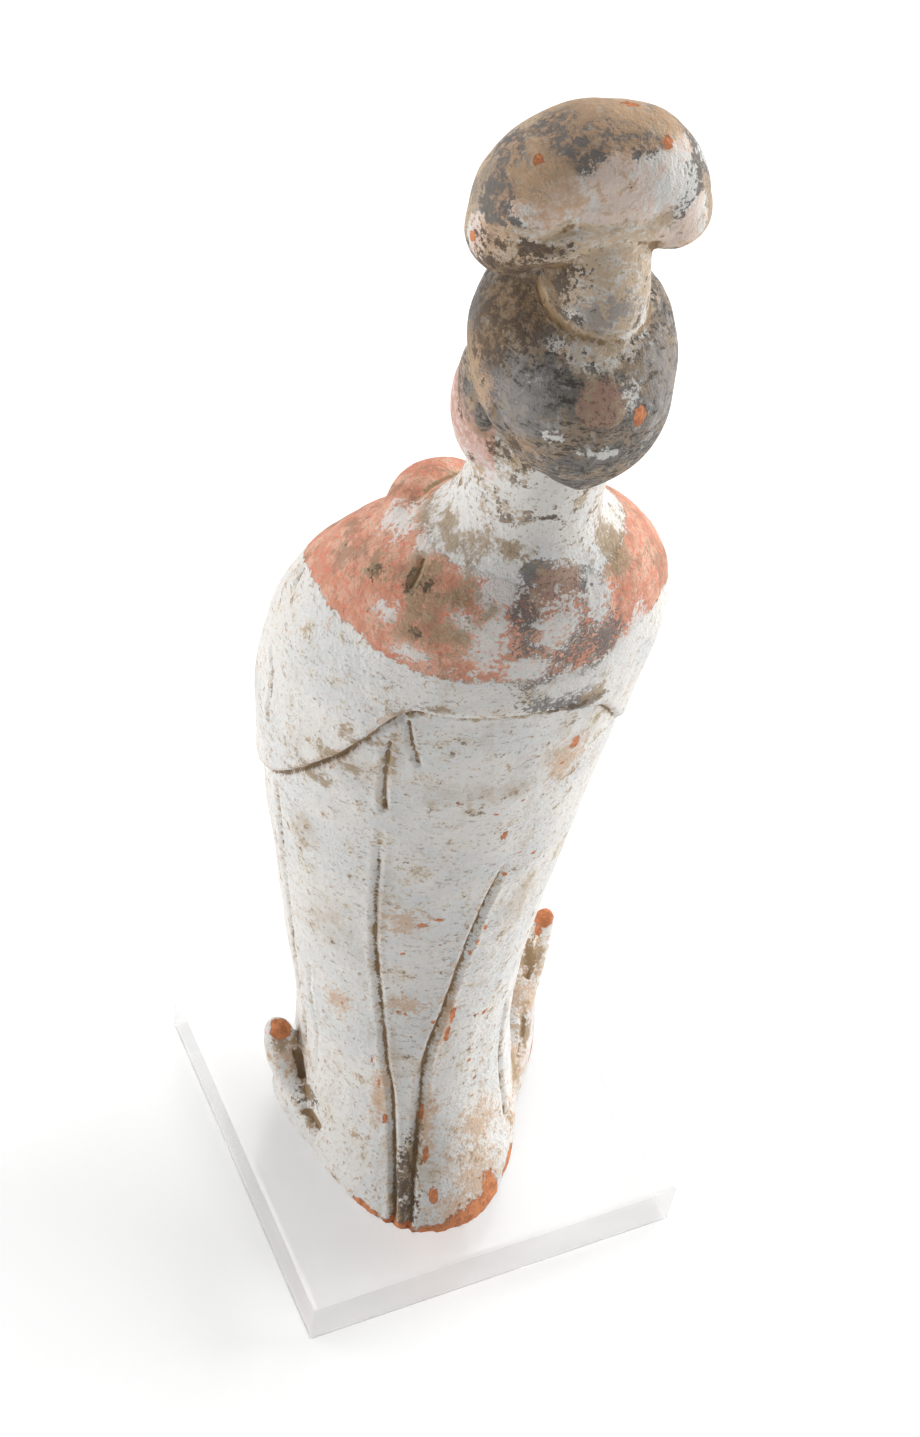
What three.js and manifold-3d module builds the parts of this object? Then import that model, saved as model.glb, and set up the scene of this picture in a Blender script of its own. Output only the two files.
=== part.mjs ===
// Pottery court lady on a clear acrylic stand, in millimetres, +Z up.
// The origin is the centre of the stand's underside and the lady faces about -Y.
import * as THREE from 'three';
import { mergeVertices } from 'three/addons/utils/BufferGeometryUtils.js';
import Module from 'manifold-3d';

const wasm = await Module();
wasm.setup();

// Driving dimensions of the stand.
const STAND_SIDE = 100;
const STAND_THICK = 16;
const STAND_BEVEL = 0.8;

// Where the lady stands on it, and how far she is turned to her right.
const FOOT_X = 5.7;
const FOOT_Y = 14;
const TURN = -10 * Math.PI / 180;

// Driving dimensions of the figure, measured from the top of the stand.
// In her own frame +X is her left, +Y is behind her and Z is height.
const HEM_EASE = 1.5;
const SKIRT_TUCK = 1.4;
const NECK_TOP = 242;
const FRONT_SQUARE = 2.5;
const TRAIN_SQUARE = 2.4;
const TRAIN_HEIGHT = 30;
const ROUND_FROM = 185;
const ROUND_TO = 225;
const LEFT_FIN_TURN = 26 * Math.PI / 180;
const RIGHT_FIN_TURN = -24 * Math.PI / 180;
const UP = new THREE.Vector3(0, 0, 1);

// Cross-sections of the robed body, from the foot to the neck: centre, half width,
// depth behind and before the centre, and how far the back narrows to a train.
const SECTIONS = [
  { z: 0, x: 2, y: -10, half: 28.5, back: 38, front: 37, narrow: 0.27 },
  { z: 4, x: 2, y: -10, half: 28, back: 37, front: 35, narrow: 0.27 },
  { z: 15, x: 2, y: -13, half: 26.4, back: 32, front: 30, narrow: 0.24 },
  { z: 30, x: 2.8, y: -17, half: 26.2, back: 29, front: 28, narrow: 0.2 },
  { z: 50, x: 4.4, y: -21, half: 28.2, back: 29, front: 28, narrow: 0.1 },
  { z: 75, x: 5.2, y: -24, half: 31.8, back: 31, front: 30, narrow: 0.05 },
  { z: 100, x: 5.4, y: -26, half: 36, back: 34, front: 31, narrow: 0.02 },
  { z: 130, x: 5.3, y: -27, half: 39.8, back: 37, front: 28, narrow: 0 },
  { z: 150, x: 5.1, y: -26, half: 41.6, back: 38, front: 25, narrow: 0 },
  { z: 168, x: 4.4, y: -23, half: 41.4, back: 37, front: 23, narrow: 0 },
  { z: 185, x: 2.8, y: -18, half: 39, back: 33, front: 23, narrow: 0 },
  { z: 196, x: 2, y: -13, half: 34.8, back: 28, front: 22, narrow: 0 },
  { z: 204, x: 1.4, y: -10, half: 28.8, back: 24.5, front: 19, narrow: 0 },
  { z: 210, x: 0.9, y: -8, half: 22, back: 19.5, front: 15.5, narrow: 0 },
  { z: 216, x: 0.6, y: -7, half: 15.8, back: 15.8, front: 13.6, narrow: 0 },
  { z: 224, x: 0.4, y: -6, half: 13.6, back: 13.8, front: 13.6, narrow: 0 },
  { z: NECK_TOP, x: 0, y: -5, half: 13.6, back: 13.8, front: 13.6, narrow: 0 },
];

// Height of the jacket hem round the body, by the angle from her left towards the back.
const HEM = [
  { turn: -180, z: 131 }, { turn: -130, z: 122 }, { turn: -90, z: 120 }, { turn: -50, z: 119 },
  { turn: -15, z: 119 }, { turn: 14, z: 130 }, { turn: 42, z: 154 }, { turn: 62, z: 177 },
  { turn: 90, z: 177 }, { turn: 118, z: 173 }, { turn: 145, z: 152 }, { turn: 180, z: 131 },
];

// Monotone cubic through (knot, value) pairs: flat where the values turn round.
function smoothCurve(knots, values) {
  const slopes = knots.slice(1).map((k, i) => (values[i + 1] - values[i]) / (k - knots[i]));
  const tangents = values.map((_, i) => {
    if (i === 0) return slopes[0];
    if (i === values.length - 1) return slopes[i - 1];
    const before = slopes[i - 1];
    const after = slopes[i];
    return before * after <= 0 ? 0 : 2 * before * after / (before + after);
  });
  return (at) => {
    const where = Math.min(Math.max(at, knots[0]), knots[knots.length - 1]);
    let i = knots.findIndex((k) => k > where) - 1;
    if (i < 0) i = knots.length - 2;
    const span = knots[i + 1] - knots[i];
    const t = (where - knots[i]) / span;
    return values[i] * (1 + 2 * t) * (1 - t) ** 2 + tangents[i] * span * t * (1 - t) ** 2
      + values[i + 1] * t * t * (3 - 2 * t) - tangents[i + 1] * span * t * t * (1 - t);
  };
}

const heights = SECTIONS.map((s) => s.z);
const section = {};
for (const key of ['x', 'y', 'half', 'back', 'front', 'narrow']) {
  section[key] = smoothCurve(heights, SECTIONS.map((s) => s[key]));
}
const hemHeight = smoothCurve(HEM.map((h) => h.turn), HEM.map((h) => h.z));

// A point of the body at an angle and height: an oval, squarer in front and at the train,
// drawn in by `inset`.
function bodyPoint(angle, z, inset = 0) {
  const c = Math.cos(angle);
  const s = Math.sin(angle);
  const loose = THREE.MathUtils.clamp((ROUND_TO - z) / (ROUND_TO - ROUND_FROM), 0, 1);
  const low = THREE.MathUtils.clamp(1 - z / TRAIN_HEIGHT, 0, 1);
  const power = 2 / (s < 0 ? 2 + (FRONT_SQUARE - 2) * loose : 2 + (TRAIN_SQUARE - 2) * low);
  const across = Math.sign(c) * Math.abs(c) ** power;
  const deep = Math.sign(s) * Math.abs(s) ** power;
  const depth = (s > 0 ? section.back(z) : section.front(z)) - inset;
  const width = (section.half(z) - inset) * (1 - section.narrow(z) * s);
  return new THREE.Vector3(section.x(z) + width * across, section.y(z) + depth * deep, z);
}

// Closed skin over a stack of rings with equal counts, each end closed by a fan.
function closedLoft(rings) {
  const count = rings[0].length;
  const points = rings.flat();
  const faces = [];
  for (let row = 0; row < rings.length - 1; row += 1) {
    for (let k = 0; k < count; k += 1) {
      const a = row * count + k;
      const b = row * count + (k + 1) % count;
      faces.push(a, b, b + count, a, b + count, a + count);
    }
  }
  const middle = (ring) => ring.reduce((sum, p) => sum.add(p), new THREE.Vector3()).divideScalar(count);
  const low = points.push(middle(rings[0])) - 1;
  const high = points.push(middle(rings[rings.length - 1])) - 1;
  const last = (rings.length - 1) * count;
  for (let k = 0; k < count; k += 1) {
    const next = (k + 1) % count;
    faces.push(low, next, k, high, last + k, last + next);
  }
  const geometry = new THREE.BufferGeometry();
  geometry.setAttribute('position', new THREE.Float32BufferAttribute(points.flatMap((p) => p.toArray()), 3));
  geometry.setIndex(faces);
  return geometry;
}

// Solid from a closed geometry, turned right side out.
function solidOf(geometry) {
  const bare = geometry.clone();
  bare.deleteAttribute('normal');
  bare.deleteAttribute('uv');
  const merged = mergeVertices(bare, 1e-5);
  const build = (triVerts) => new wasm.Manifold(new wasm.Mesh({
    numProp: 3,
    vertProperties: new Float32Array(merged.attributes.position.array),
    triVerts,
  }));
  const faces = new Uint32Array(merged.index.array);
  const solid = build(faces);
  return solid.volume() > 0 ? solid : build(faces.map((_, i) => faces[i - i % 3 + [0, 2, 1][i % 3]]));
}

// Rod through stops [x, y, z, radius] with round ends; `flat` squeezes it across `side`.
function rod(stops, side, { sides = 10, steps = 7, flat = 1 } = {}) {
  const knots = stops.map((_, i) => i / (stops.length - 1));
  const along = [0, 1, 2, 3].map((k) => smoothCurve(knots, stops.map((stop) => stop[k])));
  const at = (t) => new THREE.Vector3(along[0](t), along[1](t), along[2](t));
  const reference = new THREE.Vector3(...side).normalize();
  const capRows = 2;
  const rings = [];
  const ring = (t, slide, scale) => {
    const ahead = at(Math.min(t + 0.01, 1)).sub(at(Math.max(t - 0.01, 0))).normalize();
    const out = ahead.clone().cross(reference).normalize();
    const over = out.clone().cross(ahead);
    const radius = along[3](t);
    const centre = at(t).addScaledVector(ahead, slide * radius);
    rings.push(Array.from({ length: sides }, (_, k) => {
      const turn = 2 * Math.PI * k / sides;
      return centre.clone()
        .addScaledVector(out, scale * radius * Math.cos(turn))
        .addScaledVector(over, scale * radius * flat * Math.sin(turn));
    }));
  };
  for (let i = capRows; i > 0; i -= 1) {
    const lean = Math.PI / 2 * (i - 0.3) / capRows;
    ring(0, -Math.sin(lean), Math.cos(lean));
  }
  for (let i = 0; i <= steps; i += 1) ring(i / steps, 0, 1);
  for (let i = 1; i <= capRows; i += 1) {
    const lean = Math.PI / 2 * (i - 0.3) / capRows;
    ring(1, Math.sin(lean), Math.cos(lean));
  }
  return solidOf(closedLoft(rings));
}

// Stack of level ovals { x, y, z, half, deep }, all turned by `turn` about their centres.
function ovalStack(rows, around, turn = 0) {
  return solidOf(closedLoft(rows.map((row) => Array.from({ length: around }, (_, k) => {
    const angle = 2 * Math.PI * k / around;
    const across = row.half * Math.cos(angle);
    const deep = row.deep * Math.sin(angle);
    return new THREE.Vector3(
      row.x + across * Math.cos(turn) - deep * Math.sin(turn),
      row.y + across * Math.sin(turn) + deep * Math.cos(turn),
      row.z,
    );
  }))));
}

// Egg-shaped lump with centre and radii [x, y, z].
function lump(centre, radii, wide = 20, high = 14) {
  const ball = new THREE.SphereGeometry(1, wide, high);
  ball.rotateX(Math.PI / 2);
  ball.scale(...radii);
  ball.translate(...centre);
  return solidOf(ball);
}

const joined = (solids) => solids.reduce((sum, next) => sum.add(next));

// Skirt: the body from the foot to under the jacket, drawn in a little below the hem.
function skirt() {
  const rows = [0, 2, 6, 12, 20, 30, 42, 56, 72, 90, 108, 126, 144, 162, 180];
  const around = 36;
  const tuck = smoothCurve([40, 120], [0, SKIRT_TUCK]);
  return solidOf(closedLoft(rows.map((z) => Array.from({ length: around }, (_, k) => (
    bodyPoint(2 * Math.PI * k / around, z, tuck(z)))))));
}

// Jacket and neck: from the slanting hem up to inside the head.
function jacket() {
  const around = 40;
  const rises = [0, 0.06, 0.2, 0.36, 0.52, 0.66, 0.78, 0.88, 0.95, 1];
  const shoulder = 204;
  const neckRows = [208, 212, 217, 224, NECK_TOP];
  const rings = [];
  const hemRow = (rise, inset, drop) => Array.from({ length: around }, (_, k) => {
    const turn = 360 * k / around;
    const low = hemHeight(turn > 180 ? turn - 360 : turn) + drop;
    return bodyPoint(2 * Math.PI * k / around, low + (shoulder - low) * rise, inset);
  });
  rings.push(hemRow(0, 4, 3));
  rings.push(hemRow(0, SKIRT_TUCK / 2, 0));
  for (const rise of rises.slice(1)) rings.push(hemRow(rise, 0, HEM_EASE));
  for (const z of neckRows) {
    rings.push(Array.from({ length: around }, (_, k) => bodyPoint(2 * Math.PI * k / around, z)));
  }
  return solidOf(closedLoft(rings));
}

// Sleeves: two forearms brought together in front, and the cloth that hangs from them.
function sleeves() {
  const middle = 5;
  const forearm = (side) => rod([
    [middle + side * 26, -28, 148, 13.5], [middle + side * 20, -43, 146, 13],
    [middle + side * 9, -50, 150, 11.5], [middle, -52, 156, 9.6],
  ], [0, 0, 1]);
  const fall = [
    { z: 96, half: 4, deep: 2, y: -55 }, { z: 100, half: 10, deep: 3.4, y: -55.5 },
    { z: 112, half: 14, deep: 4.8, y: -56 }, { z: 128, half: 16, deep: 5.6, y: -56 },
    { z: 144, half: 17, deep: 6.4, y: -54.5 }, { z: 156, half: 10, deep: 6, y: -51 },
  ];
  return [forearm(1), forearm(-1), ovalStack(fall.map((row) => ({ ...row, x: middle })), 14)];
}

// Collar: the rolled front edge of the cape, crossing on the chest, left side over right.
function collar() {
  const left = [
    [24, -10, 202.5, 5.2], [18, -22, 204.5, 6], [9, -30, 200, 6], [0, -35, 188, 5.2], [-6, -42, 174, 4],
  ];
  const right = [[-20, -10, 202, 5], [-13, -22, 203, 5.6], [-4, -29, 199, 5.6], [4, -34, 188, 4.8]];
  return [rod(left, [0, 0, 1]), rod(right, [0, 0, 1])];
}

// Hem corners: at each side of the foot the hem runs out in a fin and curls up to a blunt horn.
function hemCorners() {
  const left = [
    { z: -1, x: 23, y: -4, half: 6.5, deep: 24 }, { z: 5, x: 25.5, y: -9, half: 6, deep: 18 },
    { z: 9, x: 29.5, y: -16, half: 5.2, deep: 10 }, { z: 13, x: 32.5, y: -20.5, half: 4.6, deep: 6 },
    { z: 19, x: 34, y: -23, half: 4.2, deep: 4.4 }, { z: 23, x: 34.5, y: -23.5, half: 3.4, deep: 3.6 },
    { z: 25.3, x: 34.5, y: -23.5, half: 1.6, deep: 1.8 },
  ];
  const right = [
    { z: -1, x: -27, y: -22, half: 7.5, deep: 26 }, { z: 5, x: -28, y: -24, half: 6.5, deep: 24 },
    { z: 10, x: -31, y: -29.5, half: 5, deep: 18 }, { z: 15, x: -35.5, y: -37, half: 4, deep: 11 },
    { z: 20, x: -39.5, y: -43, half: 3.2, deep: 6 }, { z: 24, x: -41.5, y: -46, half: 2.8, deep: 3.4 },
    { z: 26.5, x: -42, y: -46.5, half: 1.4, deep: 1.6 },
  ];
  return [ovalStack(left, 14, LEFT_FIN_TURN), ovalStack(right, 14, RIGHT_FIN_TURN)];
}

// Two shoe tips under the front of the skirt.
function shoes() {
  return [11, -9].map((x) => rod([[x, -30, 4, 7], [x, -42, 5, 6.5], [x, -48, 8.5, 4.2]], [1, 0, 0]));
}

// Hair, as cross-sections from the point at the nape up over the crown.
const HAIR = [
  { z: 238, x: -1.2, half: 2.5, back: 13.5, front: 6 },
  { z: 241.5, x: -0.8, half: 7, back: 16.5, front: 3 },
  { z: 246, x: -0.2, half: 11.8, back: 19.5, front: 0 },
  { z: 251, x: 0.4, half: 16, back: 21.8, front: -6 },
  { z: 257, x: 0.8, half: 18.6, back: 23.2, front: -17 },
  { z: 263, x: 1, half: 18.8, back: 23, front: -20.5 },
  { z: 269, x: 1, half: 17.6, back: 19.5, front: -20 },
  { z: 274, x: 1, half: 14, back: 13.5, front: -17 },
  { z: 277, x: 1, half: 7, back: 8, front: -9 },
];

// Head: a plain full-cheeked face, the hair swept up over it and a lock before each ear.
function head() {
  const face = lump([0.5, -9, 240.5], [17.6, 15.5, 19.5], 16, 12);
  const chin = lump([0.6, -15.5, 228.5], [8.5, 7, 6.5], 10, 8);
  const bridge = [[0.5, -24.2, 246, 1.3], [0.5, -25.3, 240, 2], [0.5, -25.2, 238, 2.1]];
  const nose = rod(bridge, [1, 0, 0], { sides: 8, steps: 3 });
  const hair = ovalStack(HAIR.map(({ z, x, half, back, front }) => (
    { z, x, y: (back + front) / 2, half, deep: (back - front) / 2 })), 24);
  const locks = [15.3, -15.8].map((x) => lump([x, -4, 250], [3.6, 8, 10], 10, 8));
  return [face, chin, nose, hair, ...locks];
}

// Topknot: a stalk at the back of the crown under a half-moon bun. The bun is a thick roll
// carried along an arc, with its middle filled and a second roll along its lower edge.
function topknot() {
  const centre = { x: 0.8, y: -1, z: 287.8 };
  const bend = 13.6;
  const rightEnd = -77;
  const leftEnd = 92;
  const turns = Array.from({ length: 7 }, (_, i) => rightEnd + (leftEnd - rightEnd) * i / 6);
  const stops = turns.map((turn, i) => [
    centre.x + (bend + Math.max(turn, 0) / 90) * Math.sin(turn * Math.PI / 180),
    centre.y,
    centre.z + bend * Math.cos(turn * Math.PI / 180),
    9.4 - 1.6 * Math.abs(i / 3 - 1) ** 3,
  ]);
  const back = [0, 1, 0];
  const lowerEdge = [[-12, 0, 291, 4.6], [0, 0, 293, 6], [9, -0.2, 290, 6], [16, -0.6, 286.5, 5]];
  const stem = [[-0.5, 5, 266, 9.3], [-0.3, 4.8, 275, 9.4], [0.3, 2.6, 283, 9.6], [0.8, -1, 291, 8.6]];
  return [
    rod(stops, back, { sides: 14, steps: 14, flat: 1.08 }),
    lump([centre.x, centre.y + 0.6, 297], [16, 10.2, 12], 14, 10),
    rod(lowerEdge, back, { sides: 12, steps: 8, flat: 1.65 }),
    rod(stem, back, { sides: 12, steps: 5 }),
  ];
}

// Grooves cut in the clay, each through stops [angle, height] on the body.
function grooves() {
  const cuts = [
    { stops: [[57, 165], [59, 150], [60.5, 140]], wide: 1.2 },
    { stops: [[60, 133], [60, 92], [63, 55], [62, 30], [60, 8], [60, -3]], wide: 1.3 },
    { stops: [[105, 119], [99, 94], [94, 68], [84, 46], [77, 25], [72, 8], [70, -3]], wide: 1.5 },
    { stops: [[12, 128], [9, 93], [0, 55], [-2, 38]], wide: 1 },
    { stops: [[170, 120], [176, 80], [180, 45]], wide: 1 },
    ...[-112, -98, -84, -70].map((turn) => ({ stops: [[turn, 100], [turn, 55], [turn, 14]], wide: 1.3 })),
    ...[-40, -142].map((turn) => ({ stops: [[turn, 112], [turn, 70], [turn, 30]], wide: 1 })),
  ];
  return cuts.map(({ stops, wide }) => rod(stops.map(([turn, z]) => {
    const p = bodyPoint(turn * Math.PI / 180, Math.max(z, 0), z < 120 ? SKIRT_TUCK * z / 120 : SKIRT_TUCK);
    return [p.x, p.y, z, wide];
  }), [1, 0.2, 0], { sides: 4, steps: 8 }));
}

// Everything of fired clay as one solid, cut flat where it stands.
function figureGeometry() {
  const depth = 40;
  const below = solidOf(new THREE.BoxGeometry(200, 200, depth).translate(0, 0, -depth / 2));
  const clay = joined([
    skirt(), jacket(), ...sleeves(), ...collar(), ...hemCorners(), ...shoes(), ...head(), ...topknot(),
  ]);
  const carved = clay.subtract(joined(grooves())).subtract(below);
  const mesh = carved.getMesh();
  const points = [];
  for (let i = 0; i < mesh.vertProperties.length; i += mesh.numProp) {
    const [x, y, z] = mesh.vertProperties.slice(i, i + 3);
    const p = new THREE.Vector3(x, y, Math.abs(z) < 1e-3 ? 0 : z).applyAxisAngle(UP, TURN);
    points.push(p.x + FOOT_X, p.y + FOOT_Y, p.z + STAND_THICK);
  }
  const geometry = new THREE.BufferGeometry();
  geometry.setAttribute('position', new THREE.Float32BufferAttribute(points, 3));
  geometry.setIndex(Array.from(mesh.triVerts));
  geometry.computeVertexNormals();
  return geometry;
}

// Stand: a square block with fine bevelled edges.
function standGeometry() {
  const rows = [
    [0, STAND_BEVEL], [STAND_BEVEL, 0], [STAND_THICK - STAND_BEVEL, 0], [STAND_THICK, STAND_BEVEL],
  ];
  return closedLoft(rows.map(([z, inset]) => {
    const half = STAND_SIDE / 2 - inset;
    return [[-1, -1], [1, -1], [1, 1], [-1, 1]].map(([x, y]) => new THREE.Vector3(x * half, y * half, z));
  }));
}

const pottery = new THREE.MeshStandardMaterial({ color: 0xd8d0c4, roughness: 0.85, metalness: 0 });
const acrylic = new THREE.MeshStandardMaterial({
  color: 0xf2f4f4, roughness: 0.08, metalness: 0, transparent: true, opacity: 0.3,
});

const courtLady = new THREE.Mesh(figureGeometry(), pottery);
courtLady.name = 'court_lady';
const stand = new THREE.Mesh(standGeometry(), acrylic);
stand.name = 'acrylic_stand';

const model = new THREE.Group();
model.add(stand, courtLady);
export default model;
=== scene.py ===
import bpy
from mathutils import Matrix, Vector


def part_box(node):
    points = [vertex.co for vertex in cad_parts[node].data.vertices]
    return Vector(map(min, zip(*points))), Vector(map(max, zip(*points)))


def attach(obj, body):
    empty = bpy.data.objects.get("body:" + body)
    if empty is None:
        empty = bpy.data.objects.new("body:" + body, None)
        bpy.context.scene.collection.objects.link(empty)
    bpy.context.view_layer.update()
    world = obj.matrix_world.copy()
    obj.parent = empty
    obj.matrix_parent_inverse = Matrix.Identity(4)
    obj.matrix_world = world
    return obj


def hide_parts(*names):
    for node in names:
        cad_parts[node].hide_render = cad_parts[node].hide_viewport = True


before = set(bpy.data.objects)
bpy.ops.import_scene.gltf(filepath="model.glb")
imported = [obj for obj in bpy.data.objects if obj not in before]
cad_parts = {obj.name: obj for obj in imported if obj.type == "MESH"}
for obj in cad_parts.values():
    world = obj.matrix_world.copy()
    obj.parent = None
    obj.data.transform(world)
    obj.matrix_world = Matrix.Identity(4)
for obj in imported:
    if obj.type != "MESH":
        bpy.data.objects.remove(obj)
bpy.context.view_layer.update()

import math

import bpy
import numpy as np
from mathutils import Matrix, Vector

bl_info = {
    "name": "Pottery court lady",
    "version": (1, 0, 0),
    "blender": (4, 5, 0),
    "location": "View3D > Sidebar > Court lady",
    "description": "A cold-painted pottery court lady on a clear acrylic block",
    "category": "Object",
}

# Lengths are in millimetres until a mesh is made, which is in metres.
MM = 0.001
STAND_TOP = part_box("acrylic_stand")[1][2] / MM

# Where the lady stands on the block, and how far she is turned to her right.
# In her own frame +X is her left, +Y is behind her and Z is height above the block.
FOOT = np.array([5.7, 14.0, STAND_TOP])
TURN = math.radians(-10)

# The skirt is drawn in by this much under the jacket, starting and ending at these heights.
SKIRT_TUCK = 1.4
TUCK_HEIGHTS = [40, 120]

NECK_TOP = 242
NECK_RADIUS = 13.7
SHOULDER = 204

# Exponents of the oval before and behind the body, where it isn't round, and their heights.
FRONT_SQUARE = 2.5
TRAIN_SQUARE = 2.4
TRAIN_HEIGHT = 30
ROUND_FROM = 185
ROUND_TO = 225

# Cross-sections of the robed body from the foot to the neck: height, centre x and y, half
# width, depth behind and before the centre, and how far the back narrows to a train.
SECTIONS = np.array([
    [0, 2, -10, 28.5, 38, 37, 0.27],
    [4, 2, -10, 28, 37, 35, 0.27],
    [15, 2, -13, 26.4, 32, 30, 0.24],
    [30, 2.8, -17, 26.2, 29, 28, 0.2],
    [50, 4.4, -21, 28.2, 29, 28, 0.1],
    [75, 5.2, -24, 31.8, 31, 30, 0.05],
    [100, 5.4, -26, 36, 34, 31, 0.02],
    [130, 5.3, -27, 39.8, 37, 28, 0],
    [150, 5.1, -26, 41.6, 38, 25, 0],
    [168, 4.4, -23, 41.4, 37, 23, 0],
    [185, 2.8, -18, 39, 33, 23, 0],
    [196, 2, -13, 34.8, 28, 22, 0],
    [SHOULDER, 1.4, -10, 28.8, 24.5, 19, 0],
    [210, 0.9, -8, 22, 19.5, 15.5, 0],
    [216, 0.6, -7, 15.8, 15.8, 13.6, 0],
    [224, 0.4, -6, 13.6, 13.8, 13.6, 0],
    [NECK_TOP, 0, -5, 13.6, 13.8, 13.6, 0],
])

# Height of the jacket hem round the body, by the angle from her left towards the back.
HEM = np.array([
    [-180, 131], [-130, 122], [-90, 120], [-50, 119], [-15, 119], [14, 130], [42, 154],
    [62, 177], [90, 177], [118, 173], [145, 152], [180, 131],
])

# Hair, from the point at the nape up over the crown: height, x, half width, back and front.
HAIR = np.array([
    [238, -1.2, 2.5, 13.5, 6],
    [241.5, -0.8, 7, 16.5, 3],
    [246, -0.2, 11.8, 19.5, 0],
    [251, 0.4, 16, 21.8, -6],
    [257, 0.8, 18.6, 23.2, -17],
    [263, 1, 18.8, 23, -20.5],
    [269, 1, 17.6, 19.5, -20],
    [274, 1, 14, 13.5, -17],
    [277, 1, 7, 8, -9],
])


def smooth_curve(knots, values):
    """Monotone cubic through (knot, value) pairs: the tangent at a knot is the harmonic mean of
    the slopes beside it, and nothing where they differ in sign."""
    knots = np.asarray(knots, float)
    values = np.asarray(values, float)
    slopes = np.diff(values) / np.diff(knots)
    before, after = slopes[:-1], slopes[1:]
    total = np.where(before * after > 0, before + after, 1)
    inner = np.where(before * after > 0, 2 * before * after / total, 0)
    tangents = np.concatenate([slopes[:1], inner, slopes[-1:]])

    def at(where):
        where = np.clip(where, knots[0], knots[-1])
        i = np.clip(np.searchsorted(knots, where, side="right") - 1, 0, len(knots) - 2)
        span = knots[i + 1] - knots[i]
        t = (where - knots[i]) / span
        return (
            values[i] * (1 + 2 * t) * (1 - t) ** 2
            + tangents[i] * span * t * (1 - t) ** 2
            + values[i + 1] * t * t * (3 - 2 * t)
            - tangents[i + 1] * span * t * t * (1 - t)
        )

    return at


section = {
    name: smooth_curve(SECTIONS[:, 0], SECTIONS[:, column + 1])
    for column, name in enumerate(["x", "y", "half", "back", "front", "narrow"])
}
hem_height = smooth_curve(HEM[:, 0], HEM[:, 1])


def body_power(behind, z):
    """Two over the exponent of the body's oval: 2 is an ellipse, and more is squarer."""
    loose = np.clip((ROUND_TO - z) / (ROUND_TO - ROUND_FROM), 0, 1)
    low = np.clip(1 - z / TRAIN_HEIGHT, 0, 1)
    front = 2 + (FRONT_SQUARE - 2) * loose
    back = 2 + (TRAIN_SQUARE - 2) * low
    return 2 / np.where(behind, back, front)


def body_point(degrees, z, inset=0.0):
    """Point of the body at an angle and height: centre plus half width times the cosine, and
    depth times the sine, each raised to the oval's power, drawn in by the inset."""
    c = np.cos(np.radians(degrees))
    s = np.sin(np.radians(degrees))
    power = body_power(s > 0, z)
    depth = np.where(s > 0, section["back"](z), section["front"](z)) - inset
    width = (section["half"](z) - inset) * (1 - section["narrow"](z) * s)
    x = section["x"](z) + width * np.sign(c) * np.abs(c) ** power
    y = section["y"](z) + depth * np.sign(s) * np.abs(s) ** power
    return np.stack([x, y, z + 0 * x], -1)


def body_degrees(points):
    """Angle of each point on the body's oval at its own height: body_point worked backwards."""
    x, y, z = points.T
    across = x - section["x"](z)
    deep = y - section["y"](z)
    power = body_power(deep > 0, z)
    depth = np.where(deep > 0, section["back"](z), section["front"](z))
    s = np.sign(deep) * np.abs(deep / depth) ** (1 / power)
    width = section["half"](z) * (1 - section["narrow"](z) * np.clip(s, -1, 1))
    c = np.sign(across) * np.abs(across / width) ** (1 / power)
    return np.degrees(np.arctan2(s, c))


def skirt_tuck(z):
    """How far the skirt is drawn in under the jacket, in millimetres, at each height."""
    return smooth_curve(TUCK_HEIGHTS, [0, SKIRT_TUCK])(z)


def unit(vectors):
    """Vectors of length one."""
    return vectors / np.linalg.norm(vectors, axis=-1, keepdims=True)


def skin(rings):
    """Closed skin over rings of points: two triangles between each four neighbours, and a fan
    to the middle of the first and of the last ring, turned to face outwards."""
    rows, around, _ = rings.shape
    row, k = np.meshgrid(np.arange(rows - 1), np.arange(around), indexing="ij")
    a = (row * around + k).ravel()
    b = (row * around + (k + 1) % around).ravel()
    low, high = rows * around, rows * around + 1
    edge = np.arange(around)
    after = (edge + 1) % around
    top = (rows - 1) * around
    triangles = np.concatenate([
        np.stack([a, b, b + around], -1),
        np.stack([a, b + around, a + around], -1),
        np.stack([low + 0 * edge, after, edge], -1),
        np.stack([high + 0 * edge, top + edge, top + after], -1),
    ])
    ends = np.stack([rings[0].mean(0), rings[-1].mean(0)])
    points = np.concatenate([rings.reshape(-1, 3), ends])
    corners = points[triangles]
    volume = np.einsum("ij,ij->", corners[:, 0], np.cross(corners[:, 1], corners[:, 2]))
    return points, triangles if volume > 0 else triangles[:, ::-1]


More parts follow.
